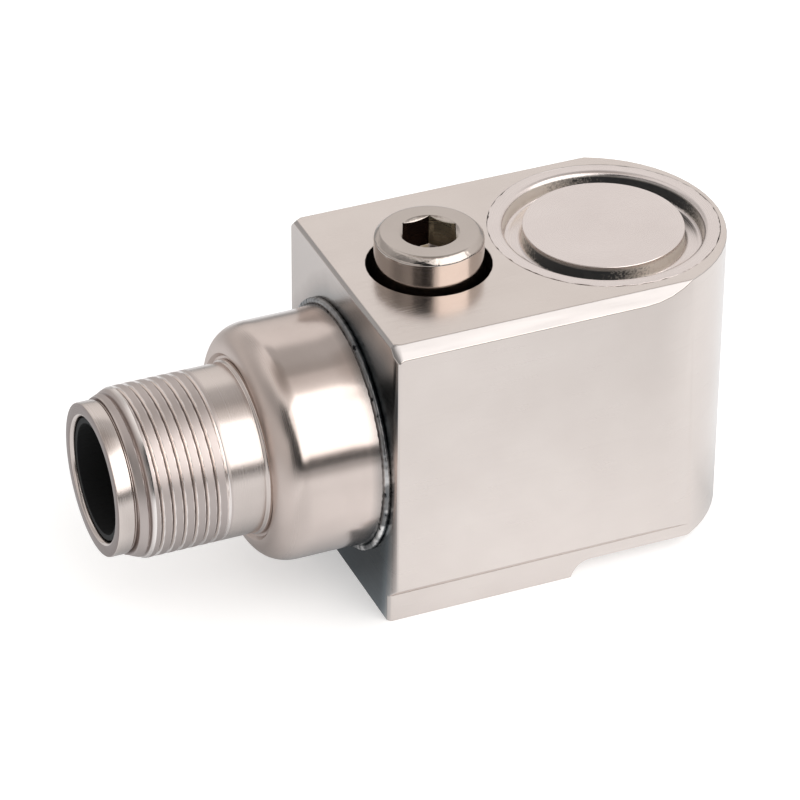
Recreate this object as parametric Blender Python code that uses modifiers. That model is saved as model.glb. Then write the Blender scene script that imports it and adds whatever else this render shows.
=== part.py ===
"""Side-exit vibration sensor: steel block, captive bolt, welded lid, neck and threaded connector.

Metres, +Z up. The foot stands on z = 0, the connector points along -X, and the origin is under the
middle of the overall length.
"""

import math

import bmesh
import bpy
from mathutils import Vector

# Block
BODY_WIDTH = 0.0254
BODY_HEIGHT = 0.0302
END_TO_ROUND = 0.0243
TOP_CHAMFER = 0.00105
END_CHAMFER = 0.0003
EDGE_BREAK = 0.00035
CORNER_FACET = 0.00155
CORNER_FACET_RUN = 0.0008

# Foot: its side walls stand back under a bevel, and it ends in a fillet before the half-round end
FOOT_SETBACK = 0.0015
FOOT_BEVEL_TOP = 0.0043
FOOT_BEVEL_DROP = 0.0014
FOOT_PAD_LENGTH = 0.0184
FOOT_STEP = 0.0016
FOOT_FILLET = 0.0020

# Captive bolt, M6, with its hole
BOLT_FROM_END = 0.00855
BOLT_DIAMETER = 0.0060
BOLT_TIP_LIFT = 0.0003
BOLT_HEAD_DIAMETER = 0.0100
BOLT_HEAD_HEIGHT = 0.0060
BOLT_HEAD_ROUND = 0.0006
BOLT_TIP_CHAMFER = 0.0007
BOLT_RAISED = 0.0033
HEX_ACROSS_FLATS = 0.00476
HEX_DEPTH = 0.0030
HEX_MOUTH_CHAMFER = 0.00012
HEX_CORNER_TURN = 6.8
BOLT_HOLE_DIAMETER = 0.0066
COUNTERBORE_DIAMETER = 0.01146
COUNTERBORE_DEPTH = 0.0100
RECESS_DIAMETER = 0.0094
RECESS_DEPTH = 0.0102
RETAINING_RING_DIAMETER = 0.0086
RETAINING_RING_THICKNESS = 0.0012
RETAINING_GROOVE_DIAMETER = 0.0047
RETAINING_CLEARANCE = 0.00015
BOLT_UP_TRAVEL = 0.0010

# Lid and the cavity under it
CAP_FROM_ROUND = 0.0016
CAP_SEAT_DIAMETER = 0.0213
CAP_THICKNESS = 0.0032
CAP_GROOVE_OUTER = 0.0184
CAP_GROOVE_INNER = 0.0149
CAP_GROOVE_DEPTH = 0.0017
CAP_GROOVE_ROUND = 0.0005
CAP_DISC_ROUND = 0.00015
CAVITY_DIAMETER = 0.0192
CAVITY_FLOOR = 0.0060

# Neck and its weld
CONNECTOR_HEIGHT_SHARE = 0.4954
NECK_DIAMETER = 0.0222
NECK_WALL = 0.0015
NECK_LENGTH = 0.01013
SHOULDER_LENGTH = 0.0030
NECK_NOSE_DIAMETER = 0.0174
NECK_NOSE_ROUND = 0.0003
NECK_FRONT_WALL = 0.0022
WELD_BEAD = 0.0003

# Connector, 5/8-24 thread
CONNECTOR_REACH = 0.0241
LIP_DIAMETER = 0.0142
LIP_LENGTH = 0.0016
LIP_ROUND = 0.0002
BORE_DIAMETER = 0.0116
BORE_CHAMFER = 0.00015
THREAD_DIAMETER = 0.0158
THREAD_START = 0.0025
THREAD_END = 0.0104
SHANK_DIAMETER = 0.0157
COLLAR_DIAMETER = 0.0163
COLLAR_FROM_NECK = 0.0001
COLLAR_WIDTH = 0.00035
SHELL_INTO_NECK = 0.0022
SHELL_BACK_WALL = 0.00095
SHELL_BACK_HOLE = 0.0084

# Contacts
INSERT_LENGTH = 0.0044
INSERT_SLEEVE_WALL = 0.0005
INSERT_SLEEVE_DEPTH = 0.0004
SEAL_SECTION = 0.0009
PIN_COUNT = 3
PIN_DIAMETER = 0.0016
PIN_CIRCLE = 0.0052
PIN_STANDOUT = 0.0050
PIN_TAIL = 0.0033

# Wires
WIRE_DIAMETER = 0.0009
WIRE_BUNDLE = 0.0013
PASSAGE_DIAMETER = 0.0030
PASSAGE_OFFSET = 0.0060
PASSAGE_LEAD_IN = 0.0030

# Sensing element
INSULATOR_DIAMETER = 0.0152
INSULATOR_THICKNESS = 0.0010
POST_FLANGE_DIAMETER = 0.0130
POST_FLANGE_THICKNESS = 0.0016
POST_ACROSS = 0.0040
POST_TOP_CLEARANCE = 0.0009
PIEZO_WIDTH = 0.0044
PIEZO_THICKNESS = 0.0007
STACK_BELOW_POST = 0.0007
STACK_LIFT = 0.0006
MASS_OUTER_DIAMETER = 0.0116
MASS_WIDTH = 0.0088
RING_THICKNESS = 0.0005
CAN_DIAMETER = 0.0141
CAN_WALL = 0.0003
CAN_SHARE = 0.5
CAN_TOP = 0.0004

# Circuit board
STANDOFF_COUNT = 3
STANDOFF_DIAMETER = 0.0014
STANDOFF_SHARE = 0.096
STANDOFF_CIRCLE = 0.0100
BOARD_DIAMETER = 0.0184
BOARD_THICKNESS = 0.0012
CHIP_SIZE = (0.0050, 0.0040, 0.0014)
CHIP_PLACE = (-0.0020, 0.0025)
TEMPERATURE_SIZE = (0.0025, 0.0020, 0.0010)
TEMPERATURE_PLACE = (0.0045, 0.0030)
CAPACITOR_DIAMETER = 0.0036
CAPACITOR_SHARE = 0.154
CAPACITOR_PLACE = (0.0010, -0.0045)

# Clearances: between pieces that touch, and between pieces welded or clamped together
GAP = 0.0003
SEAM = 0.00015
OVERCUT = 0.0020
MERGE = 0.000001

# Facets round a full circle
FINE = 60
MEDIUM = 40
COARSE = 24

# Places worked out from the sizes
BODY_RADIUS = BODY_WIDTH / 2
OVERALL_LENGTH = CONNECTOR_REACH + END_TO_ROUND + BODY_RADIUS
LIP_X = -OVERALL_LENGTH / 2
END_X = LIP_X + CONNECTOR_REACH
ROUND_X = END_X + END_TO_ROUND
BOLT_X = END_X + BOLT_FROM_END
CAP_X = ROUND_X + CAP_FROM_ROUND
CONNECTOR_HEIGHT = BODY_HEIGHT * CONNECTOR_HEIGHT_SHARE
UNDER_HEAD = BODY_HEIGHT + BOLT_RAISED - BOLT_HEAD_HEIGHT
BOLT_LENGTH = UNDER_HEAD - BOLT_TIP_LIFT
RING_TOP = RECESS_DEPTH - BOLT_UP_TRAVEL - RETAINING_CLEARANCE
CAVITY_TOP = BODY_HEIGHT - CAP_THICKNESS - SEAM
CAVITY_DEPTH = CAVITY_TOP - CAVITY_FLOOR
CAN_HEIGHT = CAVITY_DEPTH * CAN_SHARE
POST_HEIGHT = CAN_HEIGHT - POST_FLANGE_THICKNESS - CAN_TOP - POST_TOP_CLEARANCE
STACK_HEIGHT = POST_HEIGHT - STACK_LIFT - STACK_BELOW_POST
STANDOFF_HEIGHT = CAVITY_DEPTH * STANDOFF_SHARE
CAPACITOR_HEIGHT = CAVITY_DEPTH * CAPACITOR_SHARE
NECK_FRONT = CONNECTOR_REACH - NECK_LENGTH
COLLAR_START = NECK_FRONT - COLLAR_FROM_NECK
SHELL_LENGTH = NECK_FRONT + SHELL_INTO_NECK
INSERT_BACK = SHELL_LENGTH - SHELL_BACK_WALL - SEAL_SECTION - 2 * SEAM
INSERT_FRONT = INSERT_BACK - INSERT_LENGTH
PIN_FRONT = INSERT_FRONT - PIN_STANDOUT
PIN_BACK = INSERT_BACK + PIN_TAIL

BODY_STEEL = (0.55, 0.51, 0.48, 1.0)
CAP_STEEL = (0.50, 0.46, 0.43, 1.0)
NECK_STEEL = (0.42, 0.38, 0.37, 1.0)
WELD_STEEL = (0.20, 0.22, 0.24, 1.0)
BOLT_STEEL = (0.58, 0.54, 0.50, 1.0)
MOULDING_BLACK = (0.01, 0.011, 0.011, 1.0)
RUBBER_BLACK = (0.015, 0.015, 0.015, 1.0)
CONTACT_GOLD = (0.83, 0.60, 0.22, 1.0)
CERAMIC_WHITE = (0.80, 0.78, 0.72, 1.0)
PIEZO_GREY = (0.45, 0.42, 0.33, 1.0)
MASS_GREY = (0.22, 0.22, 0.23, 1.0)
CAN_BRASS = (0.60, 0.47, 0.20, 1.0)
BOARD_GREEN = (0.02, 0.13, 0.05, 1.0)
CHIP_BLACK = (0.012, 0.012, 0.014, 1.0)
NYLON_WHITE = (0.72, 0.70, 0.64, 1.0)
WIRE_COLOURS = ((0.50, 0.02, 0.02, 1.0), (0.75, 0.74, 0.70, 1.0), (0.02, 0.02, 0.02, 1.0))


def clear_scene():
    for obj in list(bpy.data.objects):
        bpy.data.objects.remove(obj, do_unlink=True)


def make_collection(name):
    group = bpy.data.collections.new(name)
    bpy.context.scene.collection.children.link(group)
    return group


def make_material(name, colour, roughness, metallic):
    material = bpy.data.materials.new(name)
    material.use_nodes = True
    shader = material.node_tree.nodes["Principled BSDF"]
    shader.inputs["Base Color"].default_value = colour
    shader.inputs["Roughness"].default_value = roughness
    shader.inputs["Metallic"].default_value = metallic
    return material


def place(name, mesh, material=None):
    """Put a mesh in the scene: a part if it has a material, otherwise a cutter."""
    obj = bpy.data.objects.new(name, mesh)
    if material is None:
        CUTTERS.objects.link(obj)
        obj.hide_render = True
        obj.display_type = "WIRE"
    else:
        PARTS.objects.link(obj)
        mesh.materials.append(material)
    return obj


def smooth(obj, angle=35):
    obj.data.shade_smooth()
    obj.data.set_sharp_from_angle(angle=math.radians(angle))


def turned(name, profile, material=None, steps=FINE):
    """Turn a profile of (radius, height) points round Z. It runs down its outer side."""
    mesh = bpy.data.meshes.new(name)
    closed = min(radius for radius, height in profile) > 0
    count = len(profile)
    edges = [(i, (i + 1) % count) for i in range(count if closed else count - 1)]
    mesh.from_pydata([(radius, 0, height) for radius, height in profile], edges, [])
    obj = place(name, mesh, material)
    screw = obj.modifiers.new("Turn", "SCREW")
    screw.steps = steps
    screw.render_steps = steps
    screw.use_merge_vertices = True
    screw.merge_threshold = MERGE
    return obj


def along_x(obj, height=CONNECTOR_HEIGHT, x=0.0):
    """Lay a piece that was turned round Z along +X, with its axis at the connector's height."""
    obj.rotation_euler = (0, math.pi / 2, 0)
    obj.location = (x, 0, height)
    return obj


def cylinder(name, diameter, low, high, centre, material=None, steps=FINE):
    mesh = bpy.data.meshes.new(name)
    bm = bmesh.new()
    bmesh.ops.create_cone(bm, cap_ends=True, segments=steps, radius1=diameter / 2,
                          radius2=diameter / 2, depth=high - low)
    bm.to_mesh(mesh)
    bm.free()
    obj = place(name, mesh, material)
    obj.location = (centre[0], centre[1], (low + high) / 2)
    return obj


def box(name, size, centre, material=None):
    mesh = bpy.data.meshes.new(name)
    bm = bmesh.new()
    bmesh.ops.create_cube(bm, size=1.0)
    bmesh.ops.scale(bm, vec=size, verts=bm.verts)
    bm.to_mesh(mesh)
    bm.free()
    obj = place(name, mesh, material)
    obj.location = centre
    return obj


def extruded(name, outline, low, high, material=None):
    """Fill a flat outline of (x, y) points and extrude it from low to high along Z."""
    curve = bpy.data.curves.new(name + "_outline", "CURVE")
    curve.dimensions = "2D"
    curve.fill_mode = "BOTH"
    curve.extrude = (high - low) / 2
    spline = curve.splines.new("POLY")
    spline.points.add(len(outline) - 1)
    for point, (x, y) in zip(spline.points, outline):
        point.co = (x, y, 0, 1)
    spline.use_cyclic_u = True
    guide = bpy.data.objects.new(name + "_outline", curve)
    CUTTERS.objects.link(guide)
    guide.location.z = (low + high) / 2
    return curve_to_mesh(guide, name, material)


def curve_to_mesh(guide, name, material):
    """Replace a curve object with a welded mesh object in the same place."""
    bpy.context.view_layer.update()
    evaluated = guide.evaluated_get(bpy.context.evaluated_depsgraph_get())
    mesh = bpy.data.meshes.new_from_object(evaluated)
    bm = bmesh.new()
    bm.from_mesh(mesh)
    bmesh.ops.remove_doubles(bm, verts=bm.verts, dist=MERGE)
    bmesh.ops.recalc_face_normals(bm, faces=bm.faces)
    bm.to_mesh(mesh)
    bm.free()
    mesh.materials.clear()
    obj = place(name, mesh, material)
    obj.matrix_world = guide.matrix_world.copy()
    bpy.data.objects.remove(guide, do_unlink=True)
    return obj


def bar_along_x(name, section, low, high):
    """Extrude a section of (y, z) points along X."""
    obj = extruded(name, section, -(high - low) / 2, (high - low) / 2)
    obj.rotation_euler = (math.pi / 2, 0, math.pi / 2)
    obj.location = ((low + high) / 2, 0, 0)
    return obj


def bar_along_y(name, section, width):
    """Extrude a section of (x, z) points along Y, centred on the block."""
    obj = extruded(name, section, -width / 2, width / 2)
    obj.rotation_euler = (math.pi / 2, 0, 0)
    return obj


def boolean(target, other, operation="DIFFERENCE"):
    step = target.modifiers.new(other.name, "BOOLEAN")
    step.operation = operation
    step.solver = "EXACT"
    step.object = other
    return target


def arc(centre, radius, start, stop, count):
    """Points on an arc, angles in degrees."""
    angles = [math.radians(start + (stop - start) * i / count) for i in range(count + 1)]
    return [(centre[0] + radius * math.cos(a), centre[1] + radius * math.sin(a)) for a in angles]


def ring_place(diameter, index, count, start=90.0):
    angle = math.radians(start + 360.0 * index / count)
    return diameter / 2 * math.cos(angle), diameter / 2 * math.sin(angle)


def smooth_route(points, steps):
    """Catmull-Rom curve through the route's own points."""
    padded = [2 * points[0] - points[1], *points, 2 * points[-1] - points[-2]]
    route = []
    for a, b, c, d in zip(padded, padded[1:], padded[2:], padded[3:]):
        for i in range(steps):
            t = i / steps
            route.append(0.5 * (2 * b + (c - a) * t + (2 * a - 5 * b + 4 * c - d) * t ** 2
                                + (3 * b - a - 3 * c + d) * t ** 3))
    route.append(points[-1])
    return route


def make_housing():
    """Block with a half-round end: chamfers, foot, bolt hole, lid seat, cavity and wire passage."""
    r = BODY_RADIUS
    outline = [(END_X, r - EDGE_BREAK), (END_X, EDGE_BREAK - r), (END_X + EDGE_BREAK, -r)]
    outline += arc((ROUND_X, 0), r, -90, 90, FINE // 2)
    outline += [(END_X + EDGE_BREAK, r)]
    housing = extruded("housing", outline, 0, BODY_HEIGHT, STEEL["body"])
    for side in (-1, 1):
        cut_side(housing, side)
    edge = END_CHAMFER + OVERCUT
    boolean(housing, bar_along_y("cut_end_chamfer", [
        (END_X - OVERCUT, BODY_HEIGHT - edge), (END_X + END_CHAMFER + OVERCUT, BODY_HEIGHT + OVERCUT),
        (END_X - OVERCUT, BODY_HEIGHT + OVERCUT)], BODY_WIDTH + 2 * OVERCUT))
    cut_foot_end(housing)
    cut_bolt_hole(housing)
    cut_cavity(housing)
    smooth(housing)
    return housing


def cut_side(housing, side):
    """Top chamfer, corner facet, foot bevel and foot edge break on one long side."""
    r = BODY_RADIUS
    label = "near" if side < 0 else "far"
    low, high = END_X - OVERCUT, ROUND_X + r + OVERCUT
    reach = TOP_CHAMFER + OVERCUT
    boolean(housing, bar_along_x("cut_top_chamfer_" + label, [
        (side * (r + OVERCUT), BODY_HEIGHT - reach), (side * (r + OVERCUT), BODY_HEIGHT + OVERCUT),
        (side * (r - reach), BODY_HEIGHT + OVERCUT)], low, high))
    wall = r - FOOT_SETBACK
    slope = FOOT_SETBACK / FOOT_BEVEL_DROP
    boolean(housing, bar_along_x("cut_foot_" + label, [
        (side * wall, -OVERCUT), (side * (r + OVERCUT), -OVERCUT),
        (side * (r + OVERCUT), FOOT_BEVEL_TOP + OVERCUT / slope),
        (side * wall, FOOT_BEVEL_TOP - FOOT_BEVEL_DROP)], low, high))
    corner = Vector((END_X, side * (r - CORNER_FACET / 2), BODY_HEIGHT - CORNER_FACET / 2))
    inset = (CORNER_FACET - TOP_CHAMFER) / math.sqrt(2)
    across = CORNER_FACET_RUN / math.sqrt(2)
    normal = Vector((-inset, side * across, across)).normalized()
    cut_by_plane(housing, "cut_corner_facet_" + label, corner, normal, 4 * CORNER_FACET)
    break_point = Vector((END_X + EDGE_BREAK / 2, side * (wall - EDGE_BREAK / 2), 0))
    foot_height = 2 * (FOOT_BEVEL_TOP - FOOT_BEVEL_DROP)
    cut_by_plane(housing, "cut_foot_break_" + label, break_point,
                 Vector((-1, side, 0)).normalized(), foot_height)


def cut_by_plane(target, name, point, normal, size):
    """Cut away what lies within a cube of the given size on the outer side of a plane."""
    cutter = box(name, (size, size, size), point + normal * size / 2)
    cutter.rotation_euler = normal.to_track_quat("Z", "Y").to_euler()
    boolean(target, cutter)


def cut_foot_end(housing):
    """Raise the underside past the foot pad, with a round fillet at the pad's end."""
    pad_end = END_X + FOOT_PAD_LENGTH
    drop = FOOT_FILLET - FOOT_STEP
    centre = (pad_end + math.sqrt(FOOT_FILLET ** 2 - drop ** 2), -drop)
    start = 180 - math.degrees(math.asin(drop / FOOT_FILLET))
    section = [(pad_end, -OVERCUT)] + arc(centre, FOOT_FILLET, start, 90, 8)
    far = ROUND_X + BODY_RADIUS + OVERCUT
    section += [(far, FOOT_STEP), (far, -OVERCUT)]
    boolean(housing, bar_along_y("cut_underside", section, BODY_WIDTH + 2 * OVERCUT))


def cut_bolt_hole(housing):
    centre = (BOLT_X, 0)
    boolean(housing, cylinder("cut_counterbore", COUNTERBORE_DIAMETER, BODY_HEIGHT - COUNTERBORE_DEPTH,
                              BODY_HEIGHT + OVERCUT, centre, steps=MEDIUM))
    boolean(housing, cylinder("cut_bolt_hole", BOLT_HOLE_DIAMETER, -OVERCUT,
                              BODY_HEIGHT + OVERCUT, centre, steps=COARSE))
    boolean(housing, cylinder("cut_recess", RECESS_DIAMETER, -OVERCUT, RECESS_DEPTH, centre,
                              steps=MEDIUM))


def cut_cavity(housing):
    centre = (CAP_X, 0)
    boolean(housing, cylinder("cut_cap_seat", CAP_SEAT_DIAMETER, CAVITY_TOP, BODY_HEIGHT + OVERCUT, centre))
    boolean(housing, cylinder("cut_cavity", CAVITY_DIAMETER, CAVITY_FLOOR, BODY_HEIGHT, centre))
    passage = cylinder("cut_wire_passage", PASSAGE_DIAMETER, END_X - OVERCUT, CAP_X, (0, 0), steps=COARSE)
    passage.rotation_euler = (0, math.pi / 2, 0)
    passage.location = ((END_X - OVERCUT + CAP_X) / 2, PASSAGE_OFFSET, CONNECTOR_HEIGHT)
    boolean(housing, passage)


def make_cap():
    """Welded lid: flat rim, ring groove with rounded edges, flat central disc."""
    top = BODY_HEIGHT
    rim = CAP_SEAT_DIAMETER / 2 - SEAM
    outer, inner = CAP_GROOVE_OUTER / 2, CAP_GROOVE_INNER / 2
    e, small = CAP_GROOVE_ROUND, CAP_DISC_ROUND
    floor = top - CAP_GROOVE_DEPTH
    profile = [(0, top)] + arc((inner - small, top - small), small, 90, 0, 2)
    profile += arc((inner + e, floor + e), e, 180, 270, 3)
    profile += arc((outer - e, floor + e), e, -90, 0, 3)
    profile += arc((outer + e, top - e), e, 180, 90, 3)
    profile += [(rim, top), (rim, top - CAP_THICKNESS), (0, top - CAP_THICKNESS)]
    cap = turned("cap", profile, STEEL["cap"])
    cap.location = (CAP_X, 0, 0)
    smooth(cap)


def make_neck():
    """Turned sleeve: a small rolled nose, an elliptical shoulder and a thin wall."""
    nose_x = -NECK_LENGTH
    back = -SEAM
    outer = NECK_DIAMETER / 2
    hole = SHANK_DIAMETER / 2 + SEAM
    nose = NECK_NOSE_DIAMETER / 2
    inside = outer - NECK_WALL
    wall_x = nose_x + NECK_NOSE_ROUND + NECK_FRONT_WALL
    shoulder = [(nose + (outer - nose) * math.sin(a), nose_x + SHOULDER_LENGTH * (1 - math.cos(a)))
                for a in (math.radians(90 * i / 12) for i in range(13))]
    profile = [(inside, wall_x), (inside, back), (outer, back)]
    profile += shoulder[::-1]
    profile += [(nose - NECK_NOSE_ROUND, nose_x + NECK_NOSE_ROUND), (hole, nose_x + NECK_NOSE_ROUND),
                (hole, wall_x)]
    neck = along_x(turned("neck", profile, STEEL["neck"]), x=END_X)
    smooth(neck)


def make_neck_weld():
    ring = NECK_DIAMETER / 2 + SEAM + WELD_BEAD
    profile = arc((ring, -WELD_BEAD - SEAM), WELD_BEAD, 180, -180, 10)[:-1]
    weld = along_x(turned("neck_weld", profile, STEEL["weld"]), x=END_X)
    smooth(weld)


def make_connector_shell():
    """Connector body: lip, lead-in, thread at its major diameter, shank, collar and inner shoulder."""
    lip, thread = LIP_DIAMETER / 2, THREAD_DIAMETER / 2
    shank, collar = SHANK_DIAMETER / 2, COLLAR_DIAMETER / 2
    bore, hole = BORE_DIAMETER / 2, SHELL_BACK_HOLE / 2
    lead = thread - lip
    inside_end = SHELL_LENGTH - SHELL_BACK_WALL
    collar_end = COLLAR_START + COLLAR_WIDTH
    profile = [(hole, inside_end), (bore, inside_end), (bore, BORE_CHAMFER), (bore + BORE_CHAMFER, 0),
               (lip - LIP_ROUND, 0), (lip, LIP_ROUND), (lip, LIP_LENGTH), (lip + lead / 4, LIP_LENGTH),
               (thread, THREAD_START), (thread, THREAD_END), (shank, THREAD_END),
               (shank, COLLAR_START), (collar, COLLAR_START), (collar, collar_end),
               (shank, collar_end), (shank, SHELL_LENGTH), (hole, SHELL_LENGTH)]
    shell = along_x(turned("connector_shell", profile[::-1], STEEL["connector"]), x=LIP_X)
    smooth(shell)


def make_insert():
    """Moulded insulator that lines the bore, with a hole for each contact, and the O-ring behind it."""
    outer = BORE_DIAMETER / 2 - SEAM
    inner = outer - INSERT_SLEEVE_WALL
    profile = [(0, INSERT_BACK), (outer, INSERT_BACK), (outer, INSERT_SLEEVE_DEPTH),
               (inner, INSERT_SLEEVE_DEPTH), (inner, INSERT_FRONT), (0, INSERT_FRONT)]
    insert = along_x(turned("connector_insert", profile, MOULDING, steps=MEDIUM), x=LIP_X)
    for index in range(PIN_COUNT):
        y, z = ring_place(PIN_CIRCLE, index, PIN_COUNT)
        hole = cylinder("cut_pin_hole_%d" % (index + 1), PIN_DIAMETER + 2 * SEAM, 0,
                        INSERT_LENGTH + 2 * OVERCUT, (0, 0), steps=16)
        hole.rotation_euler = (0, math.pi / 2, 0)
        hole.location = (LIP_X + (INSERT_FRONT + INSERT_BACK) / 2, y, CONNECTOR_HEIGHT + z)
        boolean(insert, hole)
    smooth(insert)
    section = SEAL_SECTION / 2
    ring = BORE_DIAMETER / 2 - SEAM - section
    middle = INSERT_BACK + SEAM + section
    seal = turned("insert_seal", arc((ring, middle), section, 180, -180, 8)[:-1], RUBBER, steps=MEDIUM)
    smooth(along_x(seal, x=LIP_X))


def make_pins():
    r = PIN_DIAMETER / 2
    for index in range(PIN_COUNT):
        y, z = ring_place(PIN_CIRCLE, index, PIN_COUNT)
        profile = [(0, PIN_BACK), (r, PIN_BACK)] + arc((0, PIN_FRONT + r), r, 0, -90, 4)[:-1]
        profile += [(0, PIN_FRONT)]
        pin = turned("contact_pin_%d" % (index + 1), profile, GOLD, steps=12)
        along_x(pin, CONNECTOR_HEIGHT + z, LIP_X).location.y = y
        smooth(pin)


def make_wires():
    """From each contact, sideways past the bolt hole, through the passage and up to the board."""
    start_x = LIP_X + PIN_BACK + SEAM
    cavity_x = CAP_X - math.sqrt((CAVITY_DIAMETER / 2) ** 2 - PASSAGE_OFFSET ** 2)
    top = board_low() - GAP
    clear = WIRE_DIAMETER / 2 + GAP
    for index in range(PIN_COUNT):
        y, z = ring_place(PIN_CIRCLE, index, PIN_COUNT)
        dy, dz = ring_place(WIRE_BUNDLE, index, PIN_COUNT)
        run_y = PASSAGE_OFFSET + dy
        run_z = CONNECTOR_HEIGHT + dz
        rise_x = cavity_x + clear + WIRE_BUNDLE / 2 - dz
        bend = WIRE_DIAMETER * 1.2
        route = [(start_x, y, CONNECTOR_HEIGHT + z), (start_x + bend, y, CONNECTOR_HEIGHT + z),
                 ((start_x + bend + END_X) / 2, (y + run_y) / 2, (CONNECTOR_HEIGHT + z + run_z) / 2),
                 (END_X - WIRE_DIAMETER / 2, run_y, run_z), (END_X + PASSAGE_LEAD_IN, run_y, run_z),
                 (BOLT_X, run_y, run_z), (cavity_x - bend, run_y, run_z),
                 (rise_x - bend * 0.4, run_y, run_z + bend * 0.4), (rise_x, run_y, run_z + bend * 1.6),
                 (rise_x, run_y, top)]
        points = smooth_route([Vector(p) for p in route], 4)
        curve = bpy.data.curves.new("wire_route_%d" % (index + 1), "CURVE")
        curve.dimensions = "3D"
        curve.bevel_depth = WIRE_DIAMETER / 2
        curve.bevel_resolution = 2
        curve.use_fill_caps = True
        spline = curve.splines.new("POLY")
        spline.points.add(len(points) - 1)
        for point, place_ in zip(spline.points, points):
            point.co = (*place_, 1)
        wire = bpy.data.objects.new("wire_%d" % (index + 1), curve)
        curve.materials.append(WIRES[index])
        PARTS.objects.link(wire)


def make_bolt():
    """Socket-head cap screw with a groove for its retaining ring."""
    head, shank = BOLT_HEAD_DIAMETER / 2, BOLT_DIAMETER / 2
    top = UNDER_HEAD + BOLT_HEAD_HEIGHT
    tip = UNDER_HEAD - BOLT_LENGTH
    e = BOLT_HEAD_ROUND
    groove = RETAINING_GROOVE_DIAMETER / 2
    groove_top = RING_TOP + RETAINING_CLEARANCE
    groove_low = RING_TOP - RETAINING_RING_THICKNESS - RETAINING_CLEARANCE
    profile = [(0, top)] + arc((head - e, top - e), e, 90, 0, 4)
    profile += [(head, UNDER_HEAD + EDGE_BREAK), (head - EDGE_BREAK, UNDER_HEAD), (shank, UNDER_HEAD),
                (shank, groove_top), (groove, groove_top), (groove, groove_low), (shank, groove_low),
                (shank, tip + BOLT_TIP_CHAMFER), (shank - BOLT_TIP_CHAMFER, tip), (0, tip)]
    bolt = turned("bolt", profile, STEEL["bolt"], steps=MEDIUM)
    bolt.location = (BOLT_X, 0, 0)
    corner = HEX_ACROSS_FLATS / math.sqrt(3)
    socket = cylinder("cut_hex_socket", 2 * corner, top - HEX_DEPTH, top + OVERCUT, (BOLT_X, 0), steps=6)
    socket.rotation_euler = (0, 0, math.radians(30 + HEX_CORNER_TURN))
    boolean(bolt, socket)
    mouth = corner + HEX_MOUTH_CHAMFER
    lead_in = turned("cut_socket_mouth", [(0, top + OVERCUT), (mouth + OVERCUT, top + OVERCUT),
                                          (mouth - OVERCUT, top - OVERCUT), (0, top - OVERCUT)], steps=6)
    lead_in.location = (BOLT_X, 0, 0)
    lead_in.rotation_euler = (0, 0, math.radians(HEX_CORNER_TURN))
    boolean(bolt, lead_in)
    smooth(bolt)


def make_retaining_ring():
    """Ring that snaps into the bolt's groove and stops the bolt from dropping out upwards."""
    inner = RETAINING_GROOVE_DIAMETER / 2 + RETAINING_CLEARANCE
    outer = RETAINING_RING_DIAMETER / 2
    low = RING_TOP - RETAINING_RING_THICKNESS
    profile = [(inner, low), (inner, RING_TOP), (outer, RING_TOP), (outer, low)]
    ring = turned("bolt_retaining_ring", profile, NYLON, steps=MEDIUM)
    ring.location = (BOLT_X, 0, 0)
    smooth(ring)


def insulator_low():
    return CAVITY_FLOOR + SEAM


def flange_low():
    return insulator_low() + INSULATOR_THICKNESS + SEAM


def stack_low():
    return flange_low() + POST_FLANGE_THICKNESS + STACK_LIFT


def can_high():
    return flange_low() + CAN_HEIGHT


def board_low():
    return can_high() + STANDOFF_HEIGHT + 2 * SEAM


def board_high():
    return board_low() + BOARD_THICKNESS


def make_sensing_post():
    """Ceramic isolation disc, and the flange with its triangular post."""
    centre = (CAP_X, 0)
    disc = cylinder("base_insulator", INSULATOR_DIAMETER, insulator_low(),
                    insulator_low() + INSULATOR_THICKNESS, centre, CERAMIC, steps=MEDIUM)
    smooth(disc)
    low = flange_low()
    flange_top = low + POST_FLANGE_THICKNESS
    post = cylinder("sensing_post", POST_FLANGE_DIAMETER, low, flange_top, centre, STEEL["cap"], steps=MEDIUM)
    # The circle round a triangle is twice as wide as the one inside it
    column = cylinder("join_triangular_post", 2 * POST_ACROSS, flange_top - POST_FLANGE_THICKNESS / 2,
                      flange_top + POST_HEIGHT, centre, steps=3)
    column.rotation_euler = (0, 0, math.radians(90))
    boolean(post, column, "UNION")
    smooth(post)


def make_stack():
    """Three shear plates and three masses round the post, clamped by the preload ring."""
    low = stack_low()
    high = low + STACK_HEIGHT
    plate_in = POST_ACROSS / 2 + SEAM
    mass_in = plate_in + PIEZO_THICKNESS + SEAM
    outer = MASS_OUTER_DIAMETER / 2
    half = math.degrees(math.asin(MASS_WIDTH / 2 / outer))
    outline = [(mass_in, -MASS_WIDTH / 2)] + arc((0, 0), outer, -half, half, 12)
    outline += [(mass_in, MASS_WIDTH / 2)]
    for index in range(3):
        angle = math.radians(120 * index)
        reach = plate_in + PIEZO_THICKNESS / 2
        middle = (CAP_X + reach * math.cos(angle), reach * math.sin(angle), (low + high) / 2)
        plate = box("piezo_plate_%d" % (index + 1), (PIEZO_THICKNESS, PIEZO_WIDTH, STACK_HEIGHT), middle,
                    PIEZO)
        plate.rotation_euler = (0, 0, angle)
        mass = extruded("seismic_mass_%d" % (index + 1), outline, low, high, MASS)
        mass.location = (CAP_X, 0, (low + high) / 2)
        mass.rotation_euler = (0, 0, angle)
        smooth(mass)
    inner = outer + SEAM
    profile = [(inner, low), (inner, high), (inner + RING_THICKNESS, high), (inner + RING_THICKNESS, low)]
    ring = turned("preload_ring", profile, STEEL["bolt"], steps=MEDIUM)
    ring.location = (CAP_X, 0, 0)
    smooth(ring)


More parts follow.
